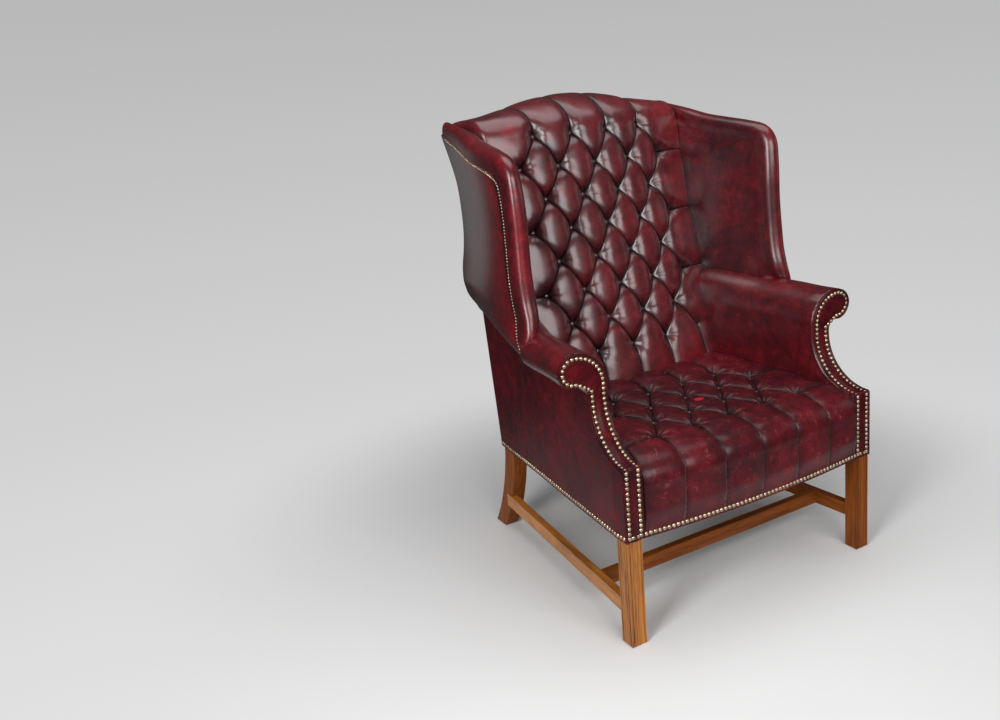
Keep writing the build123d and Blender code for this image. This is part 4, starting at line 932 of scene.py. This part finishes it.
z_now = rail_z + w * (crest(u * 333) - 24 - rail_z)
panel = np.stack([u * back_half(z_now), outside_back(z_now) + 0.4, z_now], -1)
sag = 1.2 * np.sin(u * 5 + 0.7) * np.sin(z_now / 83) * (1 - u ** 4)
front = panel + np.stack([sag * 0, sag, sag * 0], -1)
back_sheet = closed_skin("back_outside", front, panel - [0, hide, 0], panel_leather)
upholster(back_sheet, ["outside_back"])

# %% [markdown]
# ## Under the seat
# A black cloth closes the seat from below. It is tacked to the rails and sags a little between
# them, as a shallow bowl: the product of one arch across and one arch along. A flat face would
# do from a distance, but it would look like a board.

# %% Dust cover
low, high = (np.array(corner) * 1000 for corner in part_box("dust_cover"))
u, w = lattice((0, 1, 50), (0, 1, 50))
depth = low[1] + middle_depth + (high[1] - low[1]) * w
half = high[0] * (1 - 0.12 * w)
bowl = 5 * (4 * u * (1 - u)) ** 0.8 * (4 * w * (1 - w)) ** 0.8
under = np.stack([(2 * u - 1) * half, depth, low[2] - bowl + 0.5], -1)
cover = closed_skin("dust_cloth", under, under + [0, 0, 1.0], black_cloth)
upholster(cover, ["dust_cover"])

# %% [markdown]
# ## Floor, light and camera
# The photograph has a plain grey sweep, light at the foot and darker above, and soft light from
# large panels. The camera alone sees the sweep as the colour of the world. All other rays meet a
# faint glow, because a sweep that lit the chair would wash out the leather. A disc on the floor
# takes the shadow and fades out towards its rim, where a plain floor would show its edge.

# %% World and floor
world = bpy.data.worlds.new("studio")
bpy.context.scene.world = world
world.use_nodes = True
tree = world.node_tree
tree.nodes.clear()
where = add(tree, "ShaderNodeTexCoord").outputs["Generated"]
up = add(tree, "ShaderNodeSeparateXYZ", {0: where}).outputs["Z"]
sweep_colour = ramp(tree, remap(tree, up, -0.6, 0.04),
                    [(0.0, (0.807,) * 3), (0.46, (0.645,) * 3), (1.0, (0.485,) * 3)])
seen = add(tree, "ShaderNodeBackground", {"Color": sweep_colour, "Strength": 1.0})
toward = add(tree, "ShaderNodeVectorMath", {0: where, 1: (0.0, -0.6, 0.8)},
             operation="DOT_PRODUCT").outputs["Value"]
glow = ramp(tree, toward, [(0.0, (0.05,) * 3), (1.0, (0.13,) * 3)])
lit = add(tree, "ShaderNodeBackground", {"Color": glow, "Strength": 1.0})
rays = add(tree, "ShaderNodeLightPath").outputs["Is Camera Ray"]
either = add(tree, "ShaderNodeMixShader", {0: rays, 1: lit.outputs[0], 2: seen.outputs[0]})
add(tree, "ShaderNodeOutputWorld", {"Surface": either.outputs[0]})

floor_finish, tree, shader, where = node_tree("floor")
far = add(tree, "ShaderNodeVectorMath", {0: where}, operation="LENGTH").outputs["Value"]
fade = add(tree, "ShaderNodeMapRange", {"Value": far, "From Min": 0.5, "From Max": 1.5,
                                        "To Min": 1.0, "To Max": 0.0},
           interpolation_type="SMOOTHERSTEP").outputs[0]
feed(tree, shader, {"Base Color": (0.80, 0.80, 0.80, 1), "Roughness": 0.9,
                    "Specular IOR Level": 0.1, "Alpha": fade})
angles = np.linspace(0, 2 * np.pi, 96, endpoint=False)
disc = np.stack([np.cos(angles), np.sin(angles), angles * 0], -1) * 1.6
floor = make_mesh("floor_disc", disc, [list(range(96))], floor_finish)

# %% Lamps
def lamp(name, place_at, aim, size, power):
    """A rectangular soft panel that looks at a point. The camera doesn't see it."""
    data = bpy.data.lights.new(name, "AREA")
    data.shape, data.size, data.size_y = "RECTANGLE", size[0], size[1]
    data.energy = power
    panel = bpy.data.objects.new(name, data)
    bpy.context.collection.objects.link(panel)
    panel.location = place_at
    panel.visible_camera = False
    panel.rotation_euler = (Vector(aim) - Vector(place_at)).to_track_quat("-Z", "Y").to_euler()

lamp("front", (-0.4, -2.5, 1.7), (0, 0, 0.75), (1.8, 1.3), 40)
lamp("key", (-2.35, -1.35, 1.6), (0, 0, 0.75), (0.8, 1.8), 56)
lamp("overhead", (0.1, 0.1, 2.9), (0, 0, 0.7), (2.2, 1.8), 26)
lamp("rear_strip", (-0.3, 2.6, 0.75), (-0.33, 0.3, 0.85), (0.7, 1.2), 0.7)
lamp("right_fill", (2.4, -1.0, 1.3), (0, 0, 0.6), (1.0, 1.2), 3)

# %% Camera, found from the nail rows, the legs and the buttons
yaw, pitch, roll_angle = -0.560776, 0.241807, -0.061390
back_way = np.array([math.sin(yaw) * math.cos(pitch), -math.cos(yaw) * math.cos(pitch),
                     math.sin(pitch)])
right_way = np.cross(-back_way, [0, 0, 1])
right_way /= np.linalg.norm(right_way)
up_way = np.cross(right_way, -back_way)
right_turned = right_way * math.cos(roll_angle) + up_way * math.sin(roll_angle)
up_turned = -right_way * math.sin(roll_angle) + up_way * math.cos(roll_angle)
lens = bpy.data.cameras.new("camera")
lens.sensor_width, lens.lens = 36.0, 36.70
lens.shift_x, lens.shift_y = -0.092, -0.0705
camera = bpy.data.objects.new("camera", lens)
bpy.context.collection.objects.link(camera)
pose = np.eye(4)
pose[:3, :3] = np.stack([right_turned, up_turned, back_way], -1)
pose[:3, 3] = (-1.425387, -1.999679, 1.276991)
camera.matrix_world = Matrix(pose.tolist())
bpy.context.scene.camera = camera
bpy.context.scene.view_settings.view_transform = "Standard"
